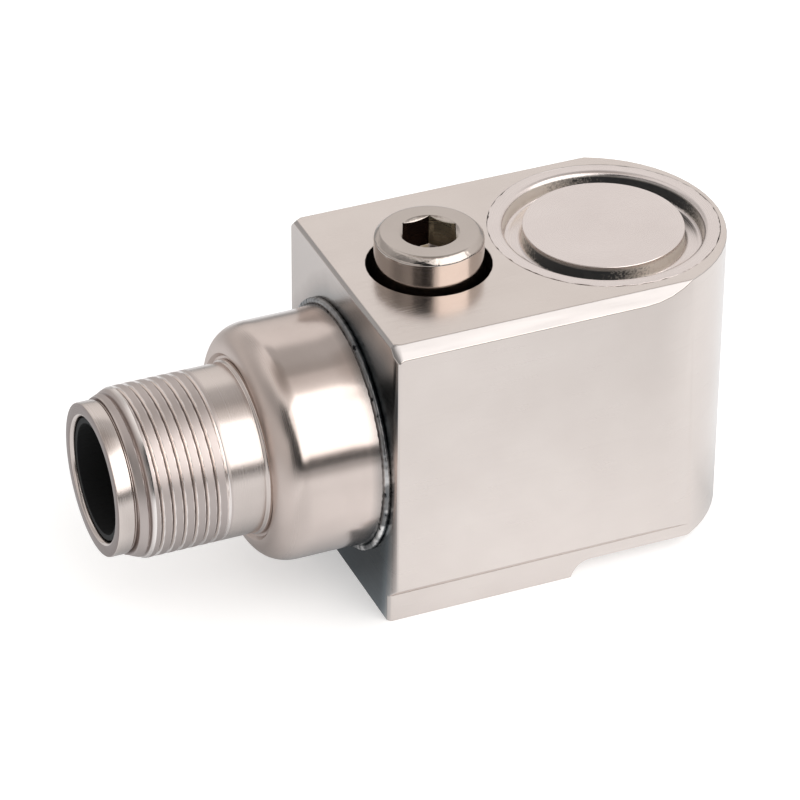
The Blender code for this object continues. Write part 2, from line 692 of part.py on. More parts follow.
def make_shield_can():
    outer, low, high = CAN_DIAMETER / 2, flange_low(), can_high()
    inner = outer - CAN_WALL
    profile = [(0, high), (outer, high), (outer, low), (inner, low), (inner, high - CAN_TOP),
               (0, high - CAN_TOP)]
    can = turned("shield_can", profile, BRASS, steps=MEDIUM)
    can.location = (CAP_X, 0, 0)
    smooth(can)


def make_board():
    """Round board on three standoffs, with amplifier, temperature sensor and capacitor."""
    for index in range(STANDOFF_COUNT):
        x, y = ring_place(STANDOFF_CIRCLE, index, STANDOFF_COUNT, 30)
        standoff = cylinder("board_standoff_%d" % (index + 1), STANDOFF_DIAMETER, can_high() + SEAM,
                            can_high() + SEAM + STANDOFF_HEIGHT, (CAP_X + x, y), NYLON, steps=12)
        smooth(standoff)
    board = cylinder("circuit_board", BOARD_DIAMETER, board_low(), board_high(), (CAP_X, 0), BOARD,
                     steps=MEDIUM)
    smooth(board)
    top = board_high() + SEAM
    for name, size, spot in (("amplifier_chip", CHIP_SIZE, CHIP_PLACE),
                             ("temperature_sensor", TEMPERATURE_SIZE, TEMPERATURE_PLACE)):
        box(name, size, (CAP_X + spot[0], spot[1], top + size[2] / 2), CHIP)
    x, y = CAPACITOR_PLACE
    capacitor = cylinder("filter_capacitor", CAPACITOR_DIAMETER, top, top + CAPACITOR_HEIGHT,
                         (CAP_X + x, y), STEEL["bolt"], steps=COARSE)
    smooth(capacitor)


clear_scene()
PARTS = make_collection("vibration_sensor")
CUTTERS = make_collection("cutters")
STEEL = {
    "body": make_material("brushed_steel_body", BODY_STEEL, 0.32, 1.0),
    "cap": make_material("turned_steel_cap", CAP_STEEL, 0.30, 1.0),
    "neck": make_material("heat_tinted_steel_neck", NECK_STEEL, 0.28, 1.0),
    "weld": make_material("weld_steel", WELD_STEEL, 0.45, 1.0),
    "connector": make_material("turned_steel_connector", BODY_STEEL, 0.28, 1.0),
    "bolt": make_material("bright_steel_bolt", BOLT_STEEL, 0.25, 1.0),
}
MOULDING = make_material("black_moulding", MOULDING_BLACK, 0.55, 0.0)
RUBBER = make_material("black_rubber", RUBBER_BLACK, 0.70, 0.0)
GOLD = make_material("gold_contact", CONTACT_GOLD, 0.25, 1.0)
CERAMIC = make_material("white_ceramic", CERAMIC_WHITE, 0.35, 0.0)
PIEZO = make_material("piezo_ceramic", PIEZO_GREY, 0.40, 0.0)
MASS = make_material("heavy_metal_mass", MASS_GREY, 0.35, 1.0)
BRASS = make_material("brass_can", CAN_BRASS, 0.30, 1.0)
BOARD = make_material("green_board", BOARD_GREEN, 0.40, 0.0)
CHIP = make_material("chip_black", CHIP_BLACK, 0.45, 0.0)
NYLON = make_material("white_nylon", NYLON_WHITE, 0.50, 0.0)
WIRES = [make_material("wire_insulation_%d" % (i + 1), colour, 0.45, 0.0)
         for i, colour in enumerate(WIRE_COLOURS)]

make_housing()
make_cap()
make_neck()
make_neck_weld()
make_connector_shell()
make_insert()
make_pins()
make_wires()
make_bolt()
make_retaining_ring()
make_sensing_post()
make_stack()
make_shield_can()
make_board()
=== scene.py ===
"""Vibration sensor: the looks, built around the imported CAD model. Metres; sizes in the text are in mm."""

import math

import bmesh
import bpy
from mathutils import Matrix, Vector, noise


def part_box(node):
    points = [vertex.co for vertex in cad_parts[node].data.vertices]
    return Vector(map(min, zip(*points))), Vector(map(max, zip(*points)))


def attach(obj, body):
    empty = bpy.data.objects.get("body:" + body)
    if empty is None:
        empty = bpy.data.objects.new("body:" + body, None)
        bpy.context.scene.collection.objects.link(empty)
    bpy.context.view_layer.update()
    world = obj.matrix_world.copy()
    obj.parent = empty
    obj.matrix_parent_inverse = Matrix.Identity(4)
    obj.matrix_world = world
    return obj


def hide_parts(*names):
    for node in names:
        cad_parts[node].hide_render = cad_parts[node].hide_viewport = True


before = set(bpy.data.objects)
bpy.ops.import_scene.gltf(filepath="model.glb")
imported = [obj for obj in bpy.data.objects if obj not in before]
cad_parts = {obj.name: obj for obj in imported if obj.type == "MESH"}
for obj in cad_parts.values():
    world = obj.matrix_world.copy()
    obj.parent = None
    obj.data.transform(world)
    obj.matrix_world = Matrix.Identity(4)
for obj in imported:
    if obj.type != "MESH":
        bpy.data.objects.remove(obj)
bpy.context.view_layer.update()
MM = 0.001

# The studio.
# A pale floor and a pale backdrop of light, with one large softbox over the right shoulder.
# The metal sees the pale room, a darker band at its horizon and a dimmer ceiling.


def linear(colour):
    """sRGB hex to linear RGBA."""
    channels = [int(colour[i:i + 2], 16) / 255 for i in (0, 2, 4)]
    return [c / 12.92 if c <= 0.04045 else ((c + 0.055) / 1.055) ** 2.4 for c in channels] + [1.0]


def add(tree, kind, inputs=None, **settings):
    """Add a node. Settings are its properties. Its inputs are values, or nodes or sockets that feed it."""
    node = tree.nodes.new(kind)
    for name, value in settings.items():
        setattr(node, name, value)
    for key, value in (inputs or {}).items():
        if isinstance(value, bpy.types.Node):
            value = value.outputs[0]
        if isinstance(value, bpy.types.NodeSocket):
            tree.links.new(value, node.inputs[key])
        else:
            node.inputs[key].default_value = value
    return node


def between(tree, value, start, low, high, stop):
    """A mask that is 1 from low to high, and fades to 0 at start and at stop."""
    rise = add(tree, "ShaderNodeMapRange", {0: value, 1: start, 2: low, 3: 0.0, 4: 1.0})
    fall = add(tree, "ShaderNodeMapRange", {0: value, 1: high, 2: stop, 3: 1.0, 4: 0.0})
    return add(tree, "ShaderNodeMath", {0: rise, 1: fall}, operation="MULTIPLY")


PHOTO_LENS = 207.19
PHOTO_PLACE = (-0.13903, -0.32299, 0.24882)
PHOTO_ANGLES = (56.4745, -0.3712, -22.9498)

camera_data = bpy.data.cameras.new("camera")
camera_data.sensor_width = 36
camera_data.lens = PHOTO_LENS
camera_data.clip_start = 0.01
camera_data.clip_end = 10
camera = bpy.data.objects.new("camera", camera_data)
camera.location = PHOTO_PLACE
camera.rotation_euler = [math.radians(angle) for angle in PHOTO_ANGLES]
bpy.context.scene.collection.objects.link(camera)
bpy.context.scene.camera = camera
bpy.context.scene.view_settings.view_transform = "Standard"

SOFTBOX_HEADING, SOFTBOX_HEIGHT, SOFTBOX_AWAY = 27, 38, 0.60
SOFTBOX_SIZE = (0.78, 0.62)
SOFTBOX_POWER = 2.3

softbox_light = bpy.data.lights.new("softbox", "AREA")
softbox_light.shape = "RECTANGLE"
softbox_light.size, softbox_light.size_y = SOFTBOX_SIZE
softbox_light.energy = SOFTBOX_POWER
softbox = bpy.data.objects.new("softbox", softbox_light)
heading, height = math.radians(SOFTBOX_HEADING), math.radians(SOFTBOX_HEIGHT)
towards = Vector((math.sin(heading) * math.cos(height), -math.cos(heading) * math.cos(height),
                  math.sin(height)))
softbox.location = towards * SOFTBOX_AWAY + Vector((0, 0, 15 * MM))
softbox.rotation_euler = towards.to_track_quat("Z", "Y").to_euler()
bpy.context.scene.collection.objects.link(softbox)

world = bpy.data.worlds.new("studio")
bpy.context.scene.world = world
world.use_nodes = True
tree = world.node_tree
tree.nodes.clear()
direction = add(tree, "ShaderNodeSeparateXYZ", {0: add(tree, "ShaderNodeTexCoord").outputs["Generated"]})
room = add(tree, "ShaderNodeValToRGB", {0: direction.outputs["Z"]})
ROOM_BANDS = ((0.00, "d9d6d4"), (0.22, "f2f1f0"), (0.60, "ffffff"), (0.92, "ffffff"), (0.96, "d6d2cf"),
              (1.00, "aaa5a2"))
UNLIT = linear("14191c")
while len(room.color_ramp.elements) < len(ROOM_BANDS):
    room.color_ramp.elements.new(1.0)
for stop, (place, colour) in zip(room.color_ramp.elements, ROOM_BANDS):
    stop.position = place
    stop.color = linear(colour)
forwards = add(tree, "ShaderNodeMath", {0: direction.outputs["Y"], 1: -1.0}, operation="MULTIPLY")
heading_of = add(tree, "ShaderNodeMath", {0: direction.outputs["X"], 1: forwards}, operation="ARCTAN2")
# Unlit parts of the room, each from one heading to another and from one height (as a sine) to another, with
# its soft edges and its depth: the side behind the camera and its fade to the left, the stand beside the
# softbox, the strip under it, the dim far left and the back ceiling
seen_room = room.outputs[0]
for dark_from, dark_to, dark_low, dark_high, side, soft, depth in (
        (-0.95, -0.10, 0.48, 0.80, 0.08, 0.08, 1.0), (-1.60, -0.95, 0.48, 0.80, 0.45, 0.08, 0.6),
        (-0.62, -0.12, 0.04, 0.60, 0.08, 0.06, 1.0), (-0.62, 1.30, -0.30, 0.16, 0.08, 0.04, 1.0),
        (-2.90, -1.70, 0.34, 0.66, 0.50, 0.16, 0.4), (1.60, 3.30, 0.80, 0.95, 0.08, 0.07, 0.45)):
    sideways = between(tree, heading_of, dark_from - side, dark_from, dark_to, dark_to + side)
    upwards = between(tree, direction.outputs["Z"], dark_low - soft, dark_low, dark_high, dark_high + soft)
    dark = add(tree, "ShaderNodeMath", {0: sideways, 1: upwards}, operation="MULTIPLY")
    dark = add(tree, "ShaderNodeMath", {0: dark, 1: depth}, operation="MULTIPLY")
    seen_room = add(tree, "ShaderNodeMix", {0: dark, 6: seen_room, 7: UNLIT}, data_type="RGBA").outputs[2]
path = add(tree, "ShaderNodeLightPath")
shown = add(tree, "ShaderNodeMath", {0: path.outputs["Is Glossy Ray"],
                                     1: path.outputs["Is Transmission Ray"]}, operation="MAXIMUM")
fill = add(tree, "ShaderNodeBackground", {"Color": linear("fffefd"), "Strength": 0.78})
seen = add(tree, "ShaderNodeBackground", {"Color": seen_room, "Strength": 1.0})
white = add(tree, "ShaderNodeBackground", {"Color": linear("ffffff"), "Strength": 1.0})
lit = add(tree, "ShaderNodeMixShader", {0: shown, 1: fill, 2: seen})
whole = add(tree, "ShaderNodeMixShader", {0: path.outputs["Is Camera Ray"], 1: lit, 2: white})
add(tree, "ShaderNodeOutputWorld", {"Surface": whole})

FLOOR_REACH = 3.0
floor_mesh = bpy.data.meshes.new("floor")
floor_mesh.from_pydata([(-FLOOR_REACH, -FLOOR_REACH, 0), (FLOOR_REACH, -FLOOR_REACH, 0),
                        (FLOOR_REACH, FLOOR_REACH, 0), (-FLOOR_REACH, FLOOR_REACH, 0)], [], [(0, 1, 2, 3)])
floor = bpy.data.objects.new("floor", floor_mesh)
bpy.context.scene.collection.objects.link(floor)
paper = bpy.data.materials.new("matt_paper")
paper.use_nodes = True
tree = paper.node_tree
tree.nodes.clear()
path = add(tree, "ShaderNodeLightPath")
matt = add(tree, "ShaderNodeBsdfDiffuse", {"Color": linear("f4f3f2")})
glow = add(tree, "ShaderNodeEmission", {"Color": linear("ffffff"), "Strength": 0.35})
lifted = add(tree, "ShaderNodeAddShader", {0: matt, 1: glow})
direct = add(tree, "ShaderNodeMixShader", {0: path.outputs["Is Camera Ray"], 1: matt, 2: lifted})
# The metal sees a table with painted light on it: its glow gets darker from the front right to the back left,
# and ends some 0.15 m away
on_floor = add(tree, "ShaderNodeTexCoord").outputs["Object"]
beside = add(tree, "ShaderNodeSeparateXYZ", {0: on_floor})
to_light = add(tree, "ShaderNodeVectorMath", {0: on_floor, 1: (0.8, -0.6, 0.0)}, operation="DOT_PRODUCT")
level = add(tree, "ShaderNodeMapRange", {0: to_light.outputs["Value"], 1: -40 * MM, 2: 50 * MM,
                                         3: 0.52, 4: 0.80})
off = add(tree, "ShaderNodeVectorMath", {0: on_floor}, operation="LENGTH")
table = add(tree, "ShaderNodeMapRange", {0: off.outputs["Value"], 1: 90 * MM, 2: 180 * MM, 3: 1.0, 4: 0.12})
# It has a painted shadow under the part,
past_side = add(tree, "ShaderNodeMath", {0: beside.outputs["Y"]}, operation="ABSOLUTE")
past_side = add(tree, "ShaderNodeMapRange", {0: past_side, 1: 2 * MM, 2: 12 * MM, 3: 0.35, 4: 1.0})
past_end = add(tree, "ShaderNodeMath", {0: beside.outputs["X"]}, operation="ABSOLUTE")
past_end = add(tree, "ShaderNodeMapRange", {0: past_end, 1: 26 * MM, 2: 40 * MM, 3: 0.35, 4: 1.0})
clear = add(tree, "ShaderNodeMath", {0: past_side, 1: past_end}, operation="MAXIMUM")
# painted light that is brighter close to the front of the block than further out,
ahead = add(tree, "ShaderNodeMapRange", {0: beside.outputs["Y"], 1: -42 * MM, 2: -20 * MM, 3: -0.13, 4: 0.12})
at_block = add(tree, "ShaderNodeMapRange", {0: beside.outputs["X"], 1: -16 * MM, 2: -4 * MM, 3: 0.0, 4: 1.0})
ahead = add(tree, "ShaderNodeMath", {0: ahead, 1: at_block, 2: 1.0}, operation="MULTIPLY_ADD")
for share in (table, clear, ahead):
    level = add(tree, "ShaderNodeMath", {0: level, 1: share}, operation="MULTIPLY")
# and painted light that is a little brighter under the connector's lip and before the middle of the block
for start, stop, first, last in ((-30, -24, 1.35, 1.0), (-14, -2, 0.90, 1.12), (12, 40, 1.0, 0.80)):
    share = add(tree, "ShaderNodeMapRange", {0: beside.outputs["X"], 1: start * MM, 2: stop * MM,
                                             3: first, 4: last})
    level = add(tree, "ShaderNodeMath", {0: level, 1: share}, operation="MULTIPLY")
painted_floor_light = add(tree, "ShaderNodeEmission", {"Color": linear("f7fbff"), "Strength": level})
shaded = add(tree, "ShaderNodeBsdfDiffuse", {"Color": linear("a3a5a6")})
mirrored = add(tree, "ShaderNodeAddShader", {0: painted_floor_light, 1: shaded})
surface = add(tree, "ShaderNodeMixShader", {0: path.outputs["Is Glossy Ray"], 1: direct, 2: mirrored})
add(tree, "ShaderNodeOutputMaterial", {"Surface": surface})
floor_mesh.materials.append(paper)


# Housing.
# A block of 316L stainless bar, milled to shape and then ground along its length.
# The neck's weld has left a blue-grey heat tint on the end face, and painted shade carries it further down.


def piece(name, mesh, material, slot, body, *nodes):
    """A finished piece: in the scene, on its body, in its material, in place of its CAD nodes."""
    obj = bpy.data.objects.new(name, mesh)
    bpy.context.scene.collection.objects.link(obj)
    mesh.materials.clear()
    mesh.materials.append(material)
    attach(obj, body)
    if nodes:
        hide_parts(*nodes)


def settled(mesh, edge=0.0, angle=30):
    """Round a mesh's sharp edges by a width in mm, weight its normals, and return the plain result."""
    work = bpy.data.objects.new("work", mesh)
    bpy.context.scene.collection.objects.link(work)
    mesh.shade_smooth()
    if edge:
        bevel = work.modifiers.new("edges", "BEVEL")
        bevel.width = edge * MM
        bevel.segments = 2
        bevel.limit_method = "ANGLE"
        bevel.angle_limit = math.radians(angle)
        bevel.use_clamp_overlap = False
        bevel.miter_outer = "MITER_ARC"
    else:
        mesh.set_sharp_from_angle(angle=math.radians(angle))
    weigh = work.modifiers.new("normals", "WEIGHTED_NORMAL")
    weigh.weight = 70
    weigh.keep_sharp = True
    bpy.context.view_layer.update()
    graph = bpy.context.evaluated_depsgraph_get()
    result = bpy.data.meshes.new_from_object(work.evaluated_get(graph))
    bpy.data.objects.remove(work)
    return result


def cad_copy(node):
    """A copy of a CAD node's mesh with its loose triangles merged and its flat faces made whole."""
    shape = bmesh.new()
    shape.from_mesh(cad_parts[node].data)
    bmesh.ops.remove_doubles(shape, verts=shape.verts, dist=0.002 * MM)
    bmesh.ops.dissolve_limit(shape, angle_limit=math.radians(0.6), verts=shape.verts, edges=shape.edges)
    mesh = bpy.data.meshes.new(node)
    shape.to_mesh(mesh)
    shape.free()
    return mesh


def worn(material, where, colour=None, duller=0.0):
    """Change a finish where a mask says so: its colour, as sRGB hex or a socket, and its roughness."""
    tree = material.node_tree
    shader = tree.nodes["Principled BSDF"]
    if colour is not None:
        base = shader.inputs["Base Color"].links[0].from_socket
        other = linear(colour) if isinstance(colour, str) else colour
        mixed = add(tree, "ShaderNodeMix", {0: where, 6: base, 7: other}, data_type="RGBA")
        tree.links.new(mixed.outputs[2], shader.inputs["Base Color"])
    if duller:
        rough = shader.inputs["Roughness"].links[0].from_socket
        rough = add(tree, "ShaderNodeMath", {0: where, 1: duller, 2: rough}, operation="MULTIPLY_ADD")
        tree.links.new(rough.outputs[0], shader.inputs["Roughness"])


HOUSING_LOW, HOUSING_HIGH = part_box("housing")
END_X = HOUSING_LOW[0]
TOP_Z = HOUSING_HIGH[2]
AXIS_Z = sum(corner[2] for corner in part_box("neck")) / 2

ground = bpy.data.materials.new("ground_stainless_316L")
ground.use_nodes = True
tree = ground.node_tree
shader = tree.nodes["Principled BSDF"]
place = add(tree, "ShaderNodeTexCoord").outputs["Object"]
spot = add(tree, "ShaderNodeSeparateXYZ", {0: place})
facing = add(tree, "ShaderNodeSeparateXYZ", {0: add(tree, "ShaderNodeNewGeometry").outputs["Normal"]})
flat = add(tree, "ShaderNodeMath", {0: facing.outputs["Z"]}, operation="ABSOLUTE")
# Grinding lines run along the length, 0.15 mm apart on the top and 0.2 mm on the walls. The marks of real
# grit are finer, and these are as coarse as they need to be to show
on_top = add(tree, "ShaderNodeVectorMath", {0: place, 1: (90.0, 6500.0, 0.0)}, operation="MULTIPLY")
on_wall = add(tree, "ShaderNodeCombineXYZ", {0: spot.outputs["X"], 1: spot.outputs["Z"]})
on_wall = add(tree, "ShaderNodeVectorMath", {0: on_wall, 1: (110.0, 5000.0, 0.0)}, operation="MULTIPLY")
lines_at = add(tree, "ShaderNodeMix", {0: flat, 4: on_wall, 5: on_top}, data_type="VECTOR")
lines = add(tree, "ShaderNodeTexNoise", {"Vector": lines_at.outputs[1], "Scale": 1.0, "Detail": 3.0,
                                         "Roughness": 0.65})
clouds = add(tree, "ShaderNodeTexNoise", {"Vector": place, "Scale": 160.0, "Detail": 3.0})
base = add(tree, "ShaderNodeMix", {0: clouds, 6: linear("d0c4bd"), 7: linear("dbd0c9")}, data_type="RGBA")
tree.links.new(base.outputs[2], shader.inputs["Base Color"])
shader.inputs["Metallic"].default_value = 1.0
rough = add(tree, "ShaderNodeMapRange", {0: lines, 1: 0.3, 2: 0.7, 3: 0.16, 4: 0.28})
tree.links.new(rough.outputs[0], shader.inputs["Roughness"])
bump = add(tree, "ShaderNodeBump", {"Strength": 0.2, "Distance": 0.01 * MM, "Height": lines})
tree.links.new(bump.outputs[0], shader.inputs["Normal"])

# Heat tint on the end face: dark steel-blue beside the weld, and paler through grey to the bare steel.
# It reaches further down and to the near side as painted shade, but not into the lower near corner
from_axis = add(tree, "ShaderNodeVectorMath", {0: place, 1: (0, 0, AXIS_Z)}, operation="SUBTRACT")
across = add(tree, "ShaderNodeVectorMath", {0: from_axis, 1: (0, 1, 1)}, operation="MULTIPLY")
away = add(tree, "ShaderNodeVectorMath", {0: across}, operation="LENGTH")
wobble = add(tree, "ShaderNodeMath", {0: clouds, 1: 3 * MM, 2: -1.5 * MM}, operation="MULTIPLY_ADD")
painted_shade_reach = add(tree, "ShaderNodeVectorMath", {0: across, 1: (0, 0.42, 0.24)}, operation="DOT_PRODUCT")
reach = add(tree, "ShaderNodeMath", {0: away.outputs["Value"], 1: wobble}, operation="ADD")
reach = add(tree, "ShaderNodeMath", {0: reach, 1: painted_shade_reach.outputs["Value"]}, operation="ADD")
corner = add(tree, "ShaderNodeMapRange", {0: spot.outputs["Y"], 1: -12.7 * MM, 2: -9.0 * MM,
                                          3: 12 * MM, 4: 0.0})
under = add(tree, "ShaderNodeMapRange", {0: spot.outputs["Z"], 1: AXIS_Z + 3 * MM, 2: AXIS_Z + 9 * MM,
                                         3: 1.0, 4: 0.0})
reach = add(tree, "ShaderNodeMath", {0: corner, 1: under, 2: reach}, operation="MULTIPLY_ADD")
reach = add(tree, "ShaderNodeMapRange", {0: reach, 1: 7 * MM, 2: 20 * MM, 3: 0.0, 4: 1.0})
tints = add(tree, "ShaderNodeValToRGB", {0: reach})
HEAT_TINTS = ((0.00, "1f272b"), (0.28, "353e43"), (0.50, "5e6569"), (0.70, "95928f"), (0.86, "bdb2ac"),
              (1.00, "cfc4be"))
while len(tints.color_ramp.elements) < len(HEAT_TINTS):
    tints.color_ramp.elements.new(1.0)
for stop, (position, colour) in zip(tints.color_ramp.elements, HEAT_TINTS):
    stop.position = position
    stop.color = linear(colour)
on_end = add(tree, "ShaderNodeMapRange", {0: facing.outputs["X"], 1: -0.95, 2: -0.6, 3: 1.0, 4: 0.0})
worn(ground, on_end, tints.outputs[0])
# The long chamfers are milled after the grinding, so they are duller, and a little darker with painted shade
# that dims their highlight
worn(ground, between(tree, facing.outputs["Z"], 0.50, 0.62, 0.80, 0.92), "b4aeab", duller=0.14)

FILED_CORNER = 0.33
block = cad_copy("housing")
# The two upright corners of the end face are broken by a file
shape = bmesh.new()
shape.from_mesh(block)
upright = [edge for edge in shape.edges if edge.calc_length() > 10 * MM
           and all(abs(vert.co.x - END_X) < 0.01 * MM for vert in edge.verts)
           and abs(edge.verts[0].co.y - edge.verts[1].co.y) < 0.01 * MM]
bmesh.ops.bevel(shape, geom=upright, offset=FILED_CORNER * MM, segments=1, affect="EDGES")
shape.to_mesh(block)
shape.free()
piece("housing_body", settled(block, edge=0.10), ground, "body_steel", "case", "housing")


# Cap.
# A round stainless lid, turned with a ring groove round a flat boss, and laser welded in its seat.
# It is faced on the lathe, so its marks are fine rings.


def fillet(profile, radius, steps=3):
    """Round each inner corner of a profile in mm, by a radius or by what its sides have room for."""
    points = [Vector(point) for point in profile]
    result = [points[0]]
    for before, corner, after in zip(points, points[1:], points[2:]):
        into, out = (before - corner), (after - corner)
        reach = min(radius, 0.45 * into.length, 0.45 * out.length)
        start, end = corner + into.normalized() * reach, corner + out.normalized() * reach
        for i in range(steps + 1):
            t = i / steps
            result.append(start * (1 - t) ** 2 + corner * 2 * t * (1 - t) + end * t ** 2)
    return result + [points[-1]]


def turned(name, profile, centre, axis, steps=144, ring=False):
    """Turn a profile of (radius, along) in mm round the Z or X axis through centre."""
    shape = bmesh.new()
    rows = []
    for radius, along in profile:
        turns = 1 if radius < 1e-6 else steps
        row = []
        for i in range(turns):
            angle = 2 * math.pi * i / steps
            spot = (radius * math.cos(angle), radius * math.sin(angle), along)
            if axis == "X":
                spot = (along, spot[0], spot[1])
            row.append(shape.verts.new(Vector(centre) + Vector(spot) * MM))
        rows.append(row)
    pairs = list(zip(rows, rows[1:])) + ([(rows[-1], rows[0])] if ring else [])
    for one, two in pairs:
        for i in range(steps):
            corners = [one[i % len(one)], one[(i + 1) % len(one)], two[(i + 1) % len(two)], two[i % len(two)]]
            corners = list(dict.fromkeys(corners))
            if len(corners) > 2:
                shape.faces.new(corners)
    bmesh.ops.recalc_face_normals(shape, faces=shape.faces)
    mesh = bpy.data.meshes.new(name)
    shape.to_mesh(mesh)
    shape.free()
    return mesh


def turned_steel(name, light, dark, axis, centre, roughness, marks=0.12, spacing=0.06, aniso=0.4):
    """Turned stainless: fine rings round its axis, which stretch its highlights across them."""
    material = bpy.data.materials.new(name)
    material.use_nodes = True
    tree = material.node_tree
    shader = tree.nodes["Principled BSDF"]
    place = add(tree, "ShaderNodeTexCoord").outputs["Object"]
    local = add(tree, "ShaderNodeVectorMath", {0: place, 1: centre}, operation="SUBTRACT")
    spot = add(tree, "ShaderNodeSeparateXYZ", {0: local})
    across = (0, 1, 1) if axis == "X" else (1, 1, 0)
    out = add(tree, "ShaderNodeVectorMath", {0: local, 1: across}, operation="MULTIPLY")
    out = add(tree, "ShaderNodeVectorMath", {0: out}, operation="LENGTH")
    step = add(tree, "ShaderNodeMath", {0: out.outputs["Value"], 1: spot.outputs[axis]}, operation="ADD")
    rings = add(tree, "ShaderNodeTexNoise", {"W": step, "Scale": 1 / (spacing * MM), "Detail": 4.0,
                                             "Roughness": 0.7}, noise_dimensions="1D")
    clouds = add(tree, "ShaderNodeTexNoise", {"Vector": place, "Scale": 220.0, "Detail": 4.0})
    base = add(tree, "ShaderNodeMix", {0: clouds, 6: linear(dark), 7: linear(light)}, data_type="RGBA")
    tree.links.new(base.outputs[2], shader.inputs["Base Color"])
    shader.inputs["Metallic"].default_value = 1.0
    rough = add(tree, "ShaderNodeMapRange", {0: rings, 1: 0.3, 2: 0.7, 3: roughness - 0.05,
                                             4: roughness + 0.07})
    tree.links.new(rough.outputs[0], shader.inputs["Roughness"])
    shader.inputs["Anisotropic"].default_value = aniso
    around = add(tree, "ShaderNodeTangent", direction_type="RADIAL", axis=axis)
    tree.links.new(around.outputs[0], shader.inputs["Tangent"])
    bump = add(tree, "ShaderNodeBump", {"Strength": marks, "Distance": 0.01 * MM, "Height": rings})
    tree.links.new(bump.outputs[0], shader.inputs["Normal"])
    return material


CAP_LOW, CAP_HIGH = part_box("cap")
CAP_CENTRE = ((CAP_LOW[0] + CAP_HIGH[0]) / 2, 0, TOP_Z)
CAP_RADIUS = (CAP_HIGH[0] - CAP_LOW[0]) / 2 / MM
GROOVE_OUT, GROOVE_IN, GROOVE_DEEP = 9.2, 7.45, 1.7
ROLL_WIDE, ROLL_DEEP = 0.6, 0.5
LID_DEEP, SEAM_LINE = 3.2, 0.14

cap_profile = fillet([(0, 0), (GROOVE_IN, 0), (GROOVE_IN, -ROLL_DEEP)], 0.12)
cap_profile += fillet([(GROOVE_IN, -ROLL_DEEP), (GROOVE_IN, -GROOVE_DEEP), (GROOVE_OUT, -GROOVE_DEEP),
                       (GROOVE_OUT, -ROLL_DEEP - 0.1)], 0.5, steps=6)[1:]
# The groove's outer edge rolls over to the rim
cap_profile += [(GROOVE_OUT + ROLL_WIDE * (1 - math.cos(a)), -ROLL_DEEP * (1 - math.sin(a)))
                for a in (math.radians(90 * i / 10) for i in range(11))]
cap_profile += fillet([(GROOVE_OUT + ROLL_WIDE, 0), (CAP_RADIUS + SEAM_LINE, 0),
                       (CAP_RADIUS + SEAM_LINE, -LID_DEEP), (0, -LID_DEEP)], 0.05)[1:]
faced = turned_steel("faced_stainless", "e2d7d2", "d7cbc6", "Z", CAP_CENTRE, 0.24, marks=0.012, aniso=0.1)
# The walls of the groove are paler and duller than the faces, and carry a grainy painted shade,
# which is heaviest where they face the front left
tree = faced.node_tree
local = add(tree, "ShaderNodeTexCoord").outputs["Object"]
local = add(tree, "ShaderNodeVectorMath", {0: local, 1: CAP_CENTRE}, operation="SUBTRACT")
spot = add(tree, "ShaderNodeSeparateXYZ", {0: local})
below = add(tree, "ShaderNodeMapRange", {0: spot.outputs["Z"], 1: -0.5 * MM, 2: -0.12 * MM, 3: 1.0, 4: 0.0})
normal = add(tree, "ShaderNodeNewGeometry").outputs["Normal"]
facing = add(tree, "ShaderNodeSeparateXYZ", {0: normal})
upright = add(tree, "ShaderNodeMath", {0: facing.outputs["Z"]}, operation="ABSOLUTE")
upright = add(tree, "ShaderNodeMapRange", {0: upright, 1: 0.3, 2: 0.6, 3: 1.0, 4: 0.0})
walls = add(tree, "ShaderNodeMath", {0: upright, 1: below}, operation="MULTIPLY")
worn(faced, walls, "efeae3", duller=0.22)
turned_to = add(tree, "ShaderNodeVectorMath", {0: normal, 1: (-0.766, -0.643, 0.0)}, operation="DOT_PRODUCT")
specks = add(tree, "ShaderNodeTexNoise", {"Vector": local, "Scale": 5000.0, "Detail": 3.0})
grainy = add(tree, "ShaderNodeMath", {0: specks, 1: 0.55, 2: turned_to.outputs["Value"]},
             operation="MULTIPLY_ADD")
painted_groove_shade = add(tree, "ShaderNodeMapRange", {0: grainy, 1: 0.78, 2: 1.12, 3: 0.0, 4: 1.0})
worn(faced, add(tree, "ShaderNodeMath", {0: below, 1: painted_groove_shade}, operation="MULTIPLY"), "4b4e50")
lid = turned("cap_lid", cap_profile, CAP_CENTRE, "Z", steps=288)
# The weld has drawn the lid's rim out unevenly, so that its seam is closed here and there
for vertex in lid.vertices:
    out = (vertex.co - Vector(CAP_CENTRE)) * Vector((1, 1, 0))
    if out.length > CAP_RADIUS * MM:
        vertex.co += out.normalized() * 0.1 * MM * noise.fractal(out / (1.1 * MM), 0.6, 2.0, 3)
piece("cap_lid", settled(lid), faced, "cap_steel", "case", "cap")


# Neck.
# A stainless sleeve, turned with a rounded shoulder, that joins the connector to the block.
# It has a satin finish, with a blue-grey heat tint towards its weld.

NECK_CENTRE = (END_X, 0, AXIS_Z)
NECK_RADIUS, NECK_NOSE, NECK_LENGTH, SHOULDER = 11.1, 8.7, 10.13, 3.0
NECK_MOUTH, NECK_BORE, NOSE_WALL, NOSE_RIM, NECK_GAP = 8.0, 9.6, 2.5, 0.3, 0.15
FLARE_WIDE, FLARE_LONG = 0.2, 2.85
shoulder = [(NECK_NOSE + (NECK_RADIUS - NECK_NOSE) * math.sin(a),
             -NECK_LENGTH + SHOULDER * (1 - math.cos(a)))
            for a in (math.radians(90 * i / 24) for i in range(25))]
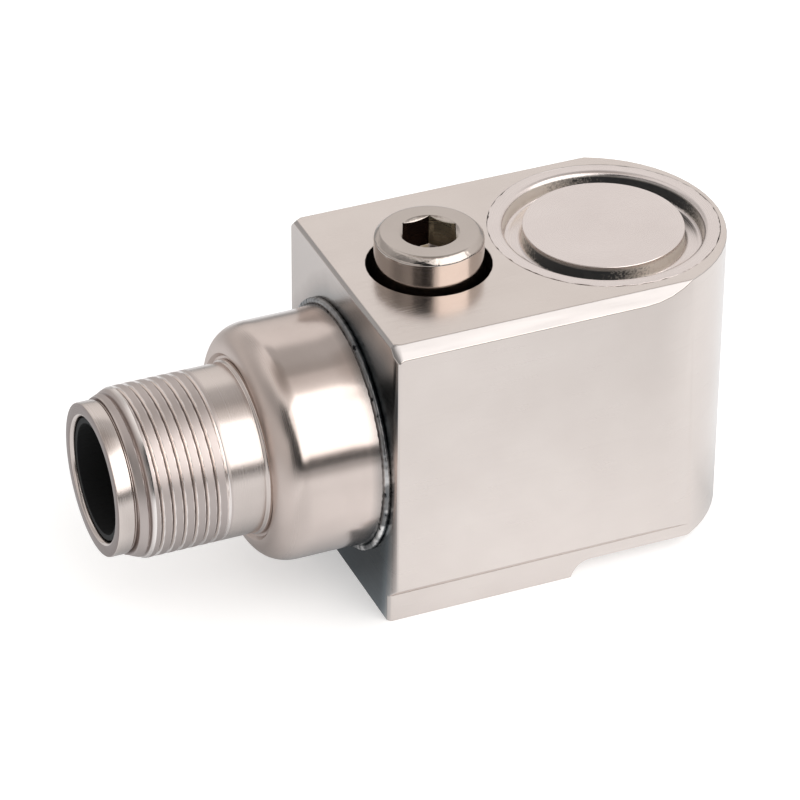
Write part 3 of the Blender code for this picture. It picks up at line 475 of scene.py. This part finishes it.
# The weld has drawn the sleeve's root out a little
flare = [(NECK_RADIUS + FLARE_WIDE * (i / 8) ** 2, -NECK_GAP - FLARE_LONG * (1 - i / 8)) for i in range(9)]
neck_profile = [(NECK_MOUTH, -NECK_LENGTH + NOSE_RIM), (NECK_NOSE - NOSE_RIM, -NECK_LENGTH + NOSE_RIM),
                *shoulder, *flare, (NECK_BORE, -NECK_GAP), (NECK_BORE, -NECK_LENGTH + NOSE_WALL),
                (NECK_MOUTH, -NECK_LENGTH + NOSE_WALL)]
satin = turned_steel("satin_turned_stainless", "d9cac2", "c6b7af", "X", NECK_CENTRE, 0.17, marks=0.04,
                     aniso=0.0)
# Beside the weld the sleeve has run blue-grey, and the tint reaches 1 to 2.6 mm further along its underside
tree = satin.node_tree
place = add(tree, "ShaderNodeTexCoord").outputs["Object"]
spot = add(tree, "ShaderNodeSeparateXYZ", {0: place})
underside = add(tree, "ShaderNodeMapRange", {0: spot.outputs["Z"], 1: AXIS_Z - 3 * MM, 2: AXIS_Z - 10 * MM,
                                             3: 0.0, 4: 1.0})
smear = add(tree, "ShaderNodeTexNoise", {"Vector": place, "Scale": 420.0, "Detail": 3.0})
smear = add(tree, "ShaderNodeMapRange", {0: smear, 1: 0.3, 2: 0.7, 3: 1.0 * MM, 4: 2.6 * MM})
run = add(tree, "ShaderNodeMath", {0: underside, 1: smear, 2: spot.outputs["X"]}, operation="MULTIPLY_ADD")
run = add(tree, "ShaderNodeMapRange", {0: run, 1: END_X - 1.6 * MM, 2: END_X + 0.4 * MM, 3: 0.0, 4: 1.0})
worn(satin, run, "4b5559")
# The shoulder was blended with emery, so it is duller than the sleeve
facing = add(tree, "ShaderNodeSeparateXYZ", {0: add(tree, "ShaderNodeNewGeometry").outputs["Normal"]})
blended = add(tree, "ShaderNodeMapRange", {0: facing.outputs["X"], 1: -0.65, 2: -0.25, 3: 1.0, 4: 0.0})
worn(satin, blended, duller=0.22)
piece("neck_sleeve", settled(turned("neck_sleeve", neck_profile, NECK_CENTRE, "X", ring=True)), satin,
      "neck_steel", "case", "neck")


# Neck weld.
# A fused bead round the joint of neck and block, with the small overlapping ripples of its pulses.
# It is rough weld metal, greyer and darker than the steel beside it.


def grown(tree, values):
    """Run a node tree with named values and return its result as a plain mesh."""
    work = bpy.data.objects.new("work", bpy.data.meshes.new("work"))
    bpy.context.scene.collection.objects.link(work)
    modifier = work.modifiers.new("grow", "NODES")
    modifier.node_group = tree
    for item in tree.interface.items_tree:
        if item.in_out == "INPUT" and item.name in values:
            modifier[item.identifier] = values[item.name]
    bpy.context.view_layer.update()
    graph = bpy.context.evaluated_depsgraph_get()
    mesh = bpy.data.meshes.new_from_object(work.evaluated_get(graph))
    bpy.data.objects.remove(work)
    return mesh


weld_metal = bpy.data.materials.new("weld_metal")
weld_metal.use_nodes = True
tree = weld_metal.node_tree
shader = tree.nodes["Principled BSDF"]
place = add(tree, "ShaderNodeTexCoord").outputs["Object"]
pebbled = add(tree, "ShaderNodeTexNoise", {"Vector": place, "Scale": 900.0, "Detail": 4.0})
base = add(tree, "ShaderNodeMix", {0: pebbled, 6: linear("474b50"), 7: linear("979390")}, data_type="RGBA")
tree.links.new(base.outputs[2], shader.inputs["Base Color"])
shader.inputs["Metallic"].default_value = 1.0
shader.inputs["Roughness"].default_value = 0.3
bump = add(tree, "ShaderNodeBump", {"Strength": 0.4, "Distance": 0.03 * MM, "Height": pebbled})
tree.links.new(bump.outputs[0], shader.inputs["Normal"])
# Patches stay silvery where the pulses overlapped, mostly low down, and a few pits are black with painted
# shade
patches = add(tree, "ShaderNodeTexNoise", {"Vector": place, "Scale": 330.0, "Detail": 2.0})
patches = add(tree, "ShaderNodeMapRange", {0: patches, 1: 0.5, 2: 0.58, 3: 0.0, 4: 1.0})
spot = add(tree, "ShaderNodeSeparateXYZ", {0: place})
lower = add(tree, "ShaderNodeMapRange", {0: spot.outputs["Z"], 1: AXIS_Z + 3 * MM, 2: AXIS_Z - 1 * MM,
                                         3: 0.15, 4: 1.0})
worn(weld_metal, add(tree, "ShaderNodeMath", {0: patches, 1: lower}, operation="MULTIPLY"), "efeae7")
worn(weld_metal, add(tree, "ShaderNodeMapRange", {0: pebbled, 1: 0.32, 2: 0.38, 3: 1.0, 4: 0.0}), "1c1c1e")

BEAD_RING, BEAD_RADIUS, RIPPLES = 11.50, 0.27, 92
bead = bpy.data.node_groups.new("weld_bead", "GeometryNodeTree")
bead.interface.new_socket("Geometry", in_out="OUTPUT", socket_type="NodeSocketGeometry")
for label in ("Ring Radius", "Bead Radius", "Ripples", "Ripple Height", "Roughness"):
    bead.interface.new_socket(label, in_out="INPUT", socket_type="NodeSocketFloat")
bead.interface.new_socket("Material", in_out="INPUT", socket_type="NodeSocketMaterial")
given = bead.nodes.new("NodeGroupInput").outputs
ring = add(bead, "GeometryNodeCurvePrimitiveCircle", {"Resolution": 720, "Radius": given["Ring Radius"]})
section = add(bead, "GeometryNodeCurvePrimitiveCircle", {"Resolution": 14, "Radius": given["Bead Radius"]})
tube = add(bead, "GeometryNodeCurveToMesh", {0: ring, 1: section})
at = add(bead, "GeometryNodeInputPosition")
xyz = add(bead, "ShaderNodeSeparateXYZ", {0: at})
turn = add(bead, "ShaderNodeMath", {0: xyz.outputs["Y"], 1: xyz.outputs["X"]}, operation="ARCTAN2")
count = add(bead, "ShaderNodeMath", {0: turn, 1: given["Ripples"]}, operation="MULTIPLY")
wave = add(bead, "ShaderNodeMath", {0: count}, operation="SINE")
lift = add(bead, "ShaderNodeMath", {0: wave, 1: given["Ripple Height"]}, operation="MULTIPLY")
grain = add(bead, "ShaderNodeTexNoise", {"Vector": at, "Scale": 1400.0, "Detail": 2.0})
rough = add(bead, "ShaderNodeMath", {0: grain, 1: given["Roughness"]}, operation="MULTIPLY")
total = add(bead, "ShaderNodeMath", {0: lift, 1: rough}, operation="ADD")
outwards = add(bead, "GeometryNodeInputNormal")
push = add(bead, "ShaderNodeVectorMath", {0: outwards, 3: total}, operation="SCALE")
moved = add(bead, "GeometryNodeSetPosition", {"Geometry": tube, "Offset": push})
soft = add(bead, "GeometryNodeSetShadeSmooth", {0: moved})
real = add(bead, "GeometryNodeRealizeInstances", {0: soft})
dressed = add(bead, "GeometryNodeSetMaterial", {"Geometry": real, "Material": given["Material"]})
add(bead, "NodeGroupOutput", {0: dressed})

bead_mesh = grown(bead, {"Ring Radius": BEAD_RING * MM, "Bead Radius": BEAD_RADIUS * MM,
                         "Ripples": float(RIPPLES), "Ripple Height": 0.015 * MM, "Roughness": 0.10 * MM,
                         "Material": weld_metal})
bead_mesh.transform(Matrix.Translation((END_X - BEAD_RADIUS * MM, 0, AXIS_Z))
                    @ Matrix.Rotation(math.pi / 2, 4, "Y"))
piece("weld_bead", bead_mesh, weld_metal, "weld_steel", "case", "neck_weld")


# Connector.
# A stainless receptacle with a 5/8-24 thread, turned from bar: lip, lead-in, thread, plain shank, collar.
# Its crests are nearly flat and its grooves narrow, with the fine rings of the lathe on every face.

THREAD_TURNS, THREAD_POINTS, ROUND_STEPS = 9, 30, 144
SHELL_CENTRE = (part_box("connector_shell")[0][0], 0, AXIS_Z)
LIP, CREST, BORE, SHANK, COLLAR = 7.1, 7.9, 5.8, 7.85, 8.13
THREAD_START, THREAD_END, THREAD_DEEP, SHELL_LENGTH = 1.7, 10.4, 0.29, 16.17
COLLAR_RISE, COLLAR_FROM, COLLAR_TO, COLLAR_FALL = 13.75, 13.9, 14.2, 14.3
REAR_HOLE, BORE_END, LEAD_IN, RELIEF = 4.2, 15.22, LIP + 0.15, LIP - 0.2
PITCH = 25.4 / 24

thread = bpy.data.node_groups.new("thread", "GeometryNodeTree")
thread.interface.new_socket("Geometry", in_out="OUTPUT", socket_type="NodeSocketGeometry")
for label in ("Crest Radius", "Tip Radius", "Lead", "Length", "Pitch", "Depth", "Root", "Flank", "Crown",
              "Run Out"):
    thread.interface.new_socket(label, in_out="INPUT", socket_type="NodeSocketFloat")
for label in ("Along", "Around"):
    thread.interface.new_socket(label, in_out="INPUT", socket_type="NodeSocketInt")
thread.interface.new_socket("Material", in_out="INPUT", socket_type="NodeSocketMaterial")
given = thread.nodes.new("NodeGroupInput").outputs
around = add(thread, "ShaderNodeMath", {0: given["Around"], 1: 1.0}, operation="ADD")
sheet = add(thread, "GeometryNodeMeshGrid", {"Size X": 1.0, "Size Y": 1.0, "Vertices X": given["Along"],
                                             "Vertices Y": around})
xyz = add(thread, "ShaderNodeSeparateXYZ", {0: add(thread, "GeometryNodeInputPosition")})
share = add(thread, "ShaderNodeMath", {0: xyz.outputs["X"], 1: 0.5}, operation="ADD")
turn = add(thread, "ShaderNodeMath", {0: xyz.outputs["Y"], 1: 0.5}, operation="ADD")
along = add(thread, "ShaderNodeMath", {0: share, 1: given["Length"]}, operation="MULTIPLY")
pitches = add(thread, "ShaderNodeMath", {0: along, 1: given["Pitch"]}, operation="DIVIDE")
behind = add(thread, "ShaderNodeMath", {0: pitches, 1: turn}, operation="SUBTRACT")
phase = add(thread, "ShaderNodeMath", {0: behind}, operation="FRACT")
centred = add(thread, "ShaderNodeMath", {0: phase, 1: 0.5}, operation="SUBTRACT")
off_root = add(thread, "ShaderNodeMath", {0: centred}, operation="ABSOLUTE")
apart = add(thread, "ShaderNodeMath", {0: off_root, 1: given["Pitch"]}, operation="MULTIPLY")
top = add(thread, "ShaderNodeMath", {0: given["Root"], 1: given["Flank"]}, operation="ADD")
cut = add(thread, "ShaderNodeMapRange", {0: apart, 1: given["Root"], 2: top, 3: 1.0, 4: 0.0},
          interpolation_type="SMOOTHSTEP")
left = add(thread, "ShaderNodeMath", {0: given["Length"], 1: along}, operation="SUBTRACT")
fade = add(thread, "ShaderNodeMapRange", {0: left, 1: 0.0, 2: given["Run Out"], 3: 0.0, 4: 1.0})
enter = add(thread, "ShaderNodeMapRange", {0: along, 1: 0.0, 2: 0.1 * MM, 3: 0.0, 4: 1.0})
fade = add(thread, "ShaderNodeMath", {0: fade, 1: enter}, operation="MULTIPLY")
# The crest is crowned: it falls a little, with the square of the distance from its middle
fall = add(thread, "ShaderNodeMath", {0: off_root, 1: -2.0, 2: 1.0}, operation="MULTIPLY_ADD")
fall = add(thread, "ShaderNodeMath", {0: fall, 1: 2.0}, operation="POWER")
fall = add(thread, "ShaderNodeMath", {0: fall, 1: given["Crown"]}, operation="MULTIPLY")
deep = add(thread, "ShaderNodeMath", {0: cut, 1: given["Depth"], 2: fall}, operation="MULTIPLY_ADD")
deep = add(thread, "ShaderNodeMath", {0: deep, 1: fade}, operation="MULTIPLY")
cone = add(thread, "ShaderNodeMath", {0: along, 1: given["Lead"], 2: given["Tip Radius"]},
           operation="MULTIPLY_ADD")
major = add(thread, "ShaderNodeMath", {0: given["Crest Radius"], 1: cone}, operation="MINIMUM")
radius = add(thread, "ShaderNodeMath", {0: major, 1: deep}, operation="SUBTRACT")
angle = add(thread, "ShaderNodeMath", {0: turn, 1: 2 * math.pi}, operation="MULTIPLY")
cosine = add(thread, "ShaderNodeMath", {0: angle}, operation="COSINE")
sine = add(thread, "ShaderNodeMath", {0: angle}, operation="SINE")
y = add(thread, "ShaderNodeMath", {0: cosine, 1: radius}, operation="MULTIPLY")
z = add(thread, "ShaderNodeMath", {0: sine, 1: radius}, operation="MULTIPLY")
spot = add(thread, "ShaderNodeCombineXYZ", {0: along, 1: y, 2: z})
bent = add(thread, "GeometryNodeSetPosition", {"Geometry": sheet, "Position": spot})
closed = add(thread, "GeometryNodeMergeByDistance", {"Geometry": bent, "Distance": 0.001 * MM})
real = add(thread, "GeometryNodeRealizeInstances", {0: closed})
dressed = add(thread, "GeometryNodeSetMaterial", {"Geometry": real, "Material": given["Material"]})
add(thread, "NodeGroupOutput", {0: dressed})


def joined(name, *meshes):
    """Weld meshes that share their border rings into one closed mesh that faces out."""
    shape = bmesh.new()
    for mesh in meshes:
        shape.from_mesh(mesh)
    bmesh.ops.remove_doubles(shape, verts=shape.verts, dist=0.004 * MM)
    bmesh.ops.recalc_face_normals(shape, faces=shape.faces)
    mesh = bpy.data.meshes.new(name)
    shape.to_mesh(mesh)
    shape.free()
    return mesh


bar_turned = turned_steel("bar_turned_stainless", "dacec7", "c9bcb5", "X", SHELL_CENTRE, 0.22, marks=0.08,
                          aniso=0.1)
threads = grown(thread, {"Crest Radius": CREST * MM, "Tip Radius": LEAD_IN * MM, "Lead": 0.42,
                         "Length": (THREAD_END - THREAD_START) * MM, "Pitch": PITCH * MM,
                         "Depth": THREAD_DEEP * MM, "Root": 0.0, "Flank": 0.20 * MM, "Crown": 0.02 * MM,
                         "Run Out": 0.5 * MM, "Along": THREAD_TURNS * THREAD_POINTS, "Around": ROUND_STEPS,
                         "Material": bar_turned})
threads.transform(Matrix.Translation(Vector(SHELL_CENTRE) + Vector((THREAD_START * MM, 0, 0))))
shell_profile = fillet([(CREST, THREAD_END), (CREST, COLLAR_RISE), (COLLAR, COLLAR_FROM), (COLLAR, COLLAR_TO),
                        (SHANK, COLLAR_FALL), (SHANK, SHELL_LENGTH), (REAR_HOLE, SHELL_LENGTH),
                        (REAR_HOLE, BORE_END), (BORE, BORE_END), (BORE, 0.25), (BORE + 0.2, 0), (LIP, 0),
                        (LIP, THREAD_START - 0.2), (RELIEF, THREAD_START - 0.15), (RELIEF, THREAD_START),
                        (LEAD_IN, THREAD_START)], 0.12)
lathe = turned("connector", shell_profile, SHELL_CENTRE, "X", steps=ROUND_STEPS)
# The thread's crests are matt, its edges are burnished by the plug's nut and paler as a painted highlight,
# and its roots carry a little painted shade. The parted end of the rim is matt, and darker with painted shade
tree = bar_turned.node_tree
local = add(tree, "ShaderNodeTexCoord").outputs["Object"]
local = add(tree, "ShaderNodeVectorMath", {0: local, 1: SHELL_CENTRE}, operation="SUBTRACT")
spot = add(tree, "ShaderNodeSeparateXYZ", {0: local})
facing = add(tree, "ShaderNodeSeparateXYZ", {0: add(tree, "ShaderNodeNewGeometry").outputs["Normal"]})
in_thread = between(tree, spot.outputs["X"], (THREAD_START - 0.1) * MM, (THREAD_START + 0.2) * MM,
                    (THREAD_END - 0.2) * MM, (THREAD_END + 0.2) * MM)
past_lead = add(tree, "ShaderNodeMapRange", {0: spot.outputs["X"], 1: (THREAD_START + 1.1) * MM,
                                             2: (THREAD_START + 1.5) * MM, 3: 0.0, 4: 1.0})
# The burnished edges are also paler, a painted highlight
edge = add(tree, "ShaderNodeMath", {0: facing.outputs["X"]}, operation="ABSOLUTE")
edge = add(tree, "ShaderNodeMapRange", {0: edge, 1: 0.10, 2: 0.28, 3: 0.0, 4: 1.0})
edge = add(tree, "ShaderNodeMath", {0: edge, 1: past_lead}, operation="MULTIPLY")
matt = add(tree, "ShaderNodeMath", {0: 1.0, 1: edge}, operation="SUBTRACT")
out = add(tree, "ShaderNodeVectorMath", {0: local, 1: (0, 1, 1)}, operation="MULTIPLY")
out = add(tree, "ShaderNodeVectorMath", {0: out}, operation="LENGTH")
painted_root_shade = add(tree, "ShaderNodeMapRange", {0: out.outputs["Value"], 1: (CREST - THREAD_DEEP) * MM,
                                        2: (CREST - THREAD_DEEP + 0.08) * MM, 3: 1.0, 4: 0.0})
painted_root_shade = add(tree, "ShaderNodeMath", {0: painted_root_shade, 1: past_lead}, operation="MULTIPLY")
for amount, colour, change in ((matt, "bcb0ab", 0.2), (edge, "ede4df", -0.03), (painted_root_shade, "8a7f7a", 0.1)):
    amount = add(tree, "ShaderNodeMath", {0: amount, 1: in_thread}, operation="MULTIPLY")
    worn(bar_turned, amount, colour, change)
# The rim's end face is matt from parting, and its darker colour is painted shade
parted_and_painted_shade = add(tree, "ShaderNodeMapRange", {0: facing.outputs["X"], 1: -0.98, 2: -0.9, 3: 1.0, 4: 0.0})
worn(bar_turned, parted_and_painted_shade, "80706a", 0.06)
piece("connector_body", settled(joined("connector_body", lathe, threads)), bar_turned, "body_steel", "case",
      "connector_shell")


# Insulator, seal and contacts.
# A black glass-filled moulding holds three gold-plated contacts, with a rubber O-ring behind it.
# They sit deep in the bore, where little light reaches them.


def finish(name, colour, second, roughness, grain, metallic=0.0, relief=0.1):
    """A plain finish with its own fine grain: two near colours and a bump of the same size in mm."""
    material = bpy.data.materials.new(name)
    material.use_nodes = True
    tree = material.node_tree
    shader = tree.nodes["Principled BSDF"]
    place = add(tree, "ShaderNodeTexCoord").outputs["Object"]
    grains = add(tree, "ShaderNodeTexNoise", {"Vector": place, "Scale": 1 / (grain * MM), "Detail": 3.0})
    base = add(tree, "ShaderNodeMix", {0: grains, 6: linear(colour), 7: linear(second)}, data_type="RGBA")
    tree.links.new(base.outputs[2], shader.inputs["Base Color"])
    shader.inputs["Metallic"].default_value = metallic
    rough = add(tree, "ShaderNodeMapRange", {0: grains, 1: 0.3, 2: 0.7, 3: roughness - 0.05,
                                             4: roughness + 0.05})
    tree.links.new(rough.outputs[0], shader.inputs["Roughness"])
    bump = add(tree, "ShaderNodeBump", {"Strength": relief, "Distance": 0.02 * MM, "Height": grains})
    tree.links.new(bump.outputs[0], shader.inputs["Normal"])
    return material


def dress(material, *nodes):
    """Give CAD nodes whose shape is right a better material."""
    for node in nodes:
        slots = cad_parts[node].data.materials
        slots.clear()
        slots.append(material)


dress(finish("glass_filled_moulding", "050505", "0b0b0c", 0.75, 0.15), "connector_insert")
dress(finish("nitrile_rubber", "111111", "1a1a1a", 0.7, 0.1), "insert_seal")
dress(finish("gold_plated_brass", "d9ab4f", "e6bd66", 0.2, 0.3, metallic=1.0, relief=0.05),
      "contact_pin_1", "contact_pin_2", "contact_pin_3")


# Wires.
# Three thin leads in PTFE insulation run from the contacts, past the bolt hole, to the board.
# Red, white and black, each with the slight waxy sheen of extruded PTFE.

for node, colour, second in (("wire_1", "a51f1c", "b32a25"), ("wire_2", "e4e2da", "efede6"),
                             ("wire_3", "17171a", "222226")):
    dress(finish("ptfe_" + node, colour, second, 0.4, 0.4), node)


# Bolt.
# A captive M6 socket-head screw in bright stainless, with a rolled thread and a groove for its ring.
# Its head is forged and turned: a rounded rim, a bright side and a broached hexagon.

BOLT_LOW, BOLT_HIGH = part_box("bolt")
BOLT_CENTRE = ((BOLT_LOW[0] + BOLT_HIGH[0]) / 2, 0, BOLT_HIGH[2])
BOLT_LONG = (BOLT_HIGH[2] - BOLT_LOW[2]) / MM
HEAD_RADIUS, HEAD_HIGH, HEAD_ROUND, HEAD_CHAMFER = 5.0, 6.0, 0.55, 0.3
HEX_FLATS, HEX_DEEP, HEX_CONE, HEX_TURN = 4.76, 3.0, 0.9, 6.8
RING_LOW, RING_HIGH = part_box("bolt_retaining_ring")
RING_PLAY = 0.15
GROOVE_TOP = (BOLT_HIGH[2] - RING_HIGH[2]) / MM - RING_PLAY
GROOVE_FOOT = (BOLT_HIGH[2] - RING_LOW[2]) / MM + RING_PLAY
SCREW_RADIUS, GROOVE_RADIUS, TIP_RADIUS, SCREW_LEAD = 2.98, 2.35, 2.3, 0.4
BOLT_STEPS = 96

bright = turned_steel("bright_stainless_screw", "c3b8b0", "b5aaa2", "Z", BOLT_CENTRE, 0.10, marks=0.04,
                      spacing=0.15, aniso=0.0)
rolled = grown(thread, {"Crest Radius": SCREW_RADIUS * MM, "Tip Radius": TIP_RADIUS * MM, "Lead": 0.9,
                        "Length": (BOLT_LONG - GROOVE_FOOT - SCREW_LEAD) * MM, "Pitch": 1.0 * MM,
                        "Depth": 0.55 * MM, "Root": 0.08 * MM, "Flank": 0.33 * MM, "Run Out": 0.4 * MM,
                        "Along": 90, "Around": BOLT_STEPS, "Material": bright})
rolled.transform(Matrix.Translation(Vector(BOLT_CENTRE) + Vector((0, 0, -BOLT_LONG * MM)))
                 @ Matrix.Rotation(-math.pi / 2, 4, "Y"))
# The socket: flat annulus, a countersunk mouth round the hexagon, its walls, and the cone left by the drill
FLAT_IN, MOUTH, MOUTH_SLOPE = 3.1, 2.78, 0.6
socket_rows = []
for i in range(BOLT_STEPS):
    angle = 2 * math.pi * i / BOLT_STEPS
    wall = HEX_FLATS / 2 / math.cos(angle % (math.pi / 3) - math.pi / 6)
    socket_rows.append([(angle, FLAT_IN, 0), (angle, MOUTH, 0), (angle, wall, (wall - MOUTH) * MOUTH_SLOPE),
                        (angle, wall, -HEX_DEEP), (angle, 0, -HEX_DEEP - HEX_CONE)])
shape = bmesh.new()
columns = [[shape.verts.new(Vector(BOLT_CENTRE)
                            + Vector((radius * math.cos(angle), radius * math.sin(angle), z)) * MM)
            for angle, radius, z in row] for row in socket_rows]
for one, two in zip(columns, columns[1:] + columns[:1]):
    for upper in range(4):
        shape.faces.new([one[upper], two[upper], two[upper + 1], one[upper + 1]])
socket = bpy.data.meshes.new("socket")
shape.to_mesh(socket)
shape.free()

screw_profile = fillet([(FLAT_IN, 0), (HEAD_RADIUS - HEAD_ROUND, 0), (HEAD_RADIUS, -HEAD_ROUND),
                        (HEAD_RADIUS, -HEAD_HIGH + HEAD_CHAMFER), (HEAD_RADIUS - HEAD_CHAMFER, -HEAD_HIGH),
                        (SCREW_RADIUS, -HEAD_HIGH), (SCREW_RADIUS, -GROOVE_TOP), (GROOVE_RADIUS, -GROOVE_TOP),
                        (GROOVE_RADIUS, -GROOVE_FOOT), (SCREW_RADIUS, -GROOVE_FOOT),
                        (SCREW_RADIUS, -GROOVE_FOOT - SCREW_LEAD)], 0.18)
# The tip closes the screw with the ring that the thread ends in, at the thread's own angles
tip_profile = [(TIP_RADIUS, -BOLT_LONG), (0, -BOLT_LONG)]
head = turned("head", screw_profile, BOLT_CENTRE, "Z", steps=BOLT_STEPS)
tip = turned("tip", tip_profile, BOLT_CENTRE, "Z", steps=BOLT_STEPS)
screw = joined("socket_screw", head, socket, rolled, tip)
screw.transform(Matrix.Translation(BOLT_CENTRE) @ Matrix.Rotation(math.radians(HEX_TURN), 4, "Z")
                @ Matrix.Translation(-Vector(BOLT_CENTRE)))
# The broached walls of the socket are duller and carry a painted shade, dark brown on the walls that face +X
# and pale olive on the rest.
# It reads the piece's own normal, so that the painted shade turns with the bolt
tree = bright.node_tree
place = add(tree, "ShaderNodeTexCoord").outputs["Object"]
facing = add(tree, "ShaderNodeSeparateXYZ", {0: add(tree, "ShaderNodeTexCoord").outputs["Normal"]})
out = add(tree, "ShaderNodeVectorMath", {0: place, 1: BOLT_CENTRE}, operation="SUBTRACT")
out = add(tree, "ShaderNodeVectorMath", {0: out, 1: (1, 1, 0)}, operation="MULTIPLY")
out = add(tree, "ShaderNodeVectorMath", {0: out}, operation="LENGTH")
inside = add(tree, "ShaderNodeMapRange", {0: out.outputs["Value"], 1: MOUTH * MM, 2: (MOUTH + 0.07) * MM,
                                          3: 1.0, 4: 0.0})
upright = add(tree, "ShaderNodeMapRange", {0: facing.outputs["Z"], 1: 0.3, 2: 0.6, 3: 1.0, 4: 0.0})
dull_and_shaded_walls = add(tree, "ShaderNodeMath", {0: inside, 1: upright}, operation="MULTIPLY")
painted_dark_side = add(tree, "ShaderNodeMapRange", {0: facing.outputs["X"], 1: -0.4, 2: 0.0, 3: 0.0, 4: 1.0})
socket_painted_shade = add(tree, "ShaderNodeMix", {0: painted_dark_side, 6: linear("d3c7ab"), 7: linear("382b27")}, data_type="RGBA")
worn(bright, dull_and_shaded_walls, socket_painted_shade.outputs[2], duller=0.2)
# The forging has left the top slightly uneven and its rounded rim pitted
on_rim = between(tree, facing.outputs["Z"], 0.1, 0.35, 0.9, 0.99)
strength = add(tree, "ShaderNodeMath", {0: on_rim, 1: 0.5, 2: 0.06}, operation="MULTIPLY_ADD")
pitted = add(tree, "ShaderNodeTexNoise", {"Vector": place, "Scale": 2600.0, "Detail": 3.0})
forged = add(tree, "ShaderNodeBump", {"Strength": strength, "Distance": 0.05 * MM, "Height": pitted})
bump = bright.node_tree.nodes["Principled BSDF"].inputs["Normal"].links[0].from_node
tree.links.new(forged.outputs[0], bump.inputs["Normal"])
piece("socket_screw", settled(screw, edge=0.04), bright, "bolt_steel", "captive_bolt", "bolt")


# Retaining ring.
# A split nylon ring snapped into the screw's groove, which keeps the screw captive in the foot.
# Natural nylon, slightly waxy.

dress(finish("natural_nylon", "d9d4c6", "e3dfd3", 0.45, 0.4), "bolt_retaining_ring",
      "board_standoff_1", "board_standoff_2", "board_standoff_3")


# Sensing element.
# A ceramic disc under a triangular steel post, with three piezo plates, three tungsten masses,
# a steel preload ring round them and a drawn brass screen over it all.

dress(finish("alumina_ceramic", "ece7da", "f4f0e6", 0.35, 0.3), "base_insulator")
dress(finish("machined_stainless_post", "c9bcb5", "d5c9c2", 0.3, 0.2, metallic=1.0), "sensing_post",
      "preload_ring", "filter_capacitor")
dress(finish("silvered_piezo_ceramic", "a79f8c", "b8b19f", 0.4, 0.25, metallic=0.6),
      "piezo_plate_1", "piezo_plate_2", "piezo_plate_3")
dress(finish("sintered_tungsten", "6c6c70", "7c7c80", 0.38, 0.12, metallic=1.0),
      "seismic_mass_1", "seismic_mass_2", "seismic_mass_3")
dress(finish("drawn_brass", "b79a55", "c7aa64", 0.3, 0.5, metallic=1.0), "shield_can")


# Circuit board.
# A round glass-fibre laminate under green solder mask, on three nylon standoffs.
# It carries moulded chips and a canned capacitor.

dress(finish("green_solder_mask", "174a2a", "1e5732", 0.35, 0.6), "circuit_board")
dress(finish("moulded_epoxy_package", "1a1a1c", "232326", 0.5, 0.1), "amplifier_chip", "temperature_sensor")
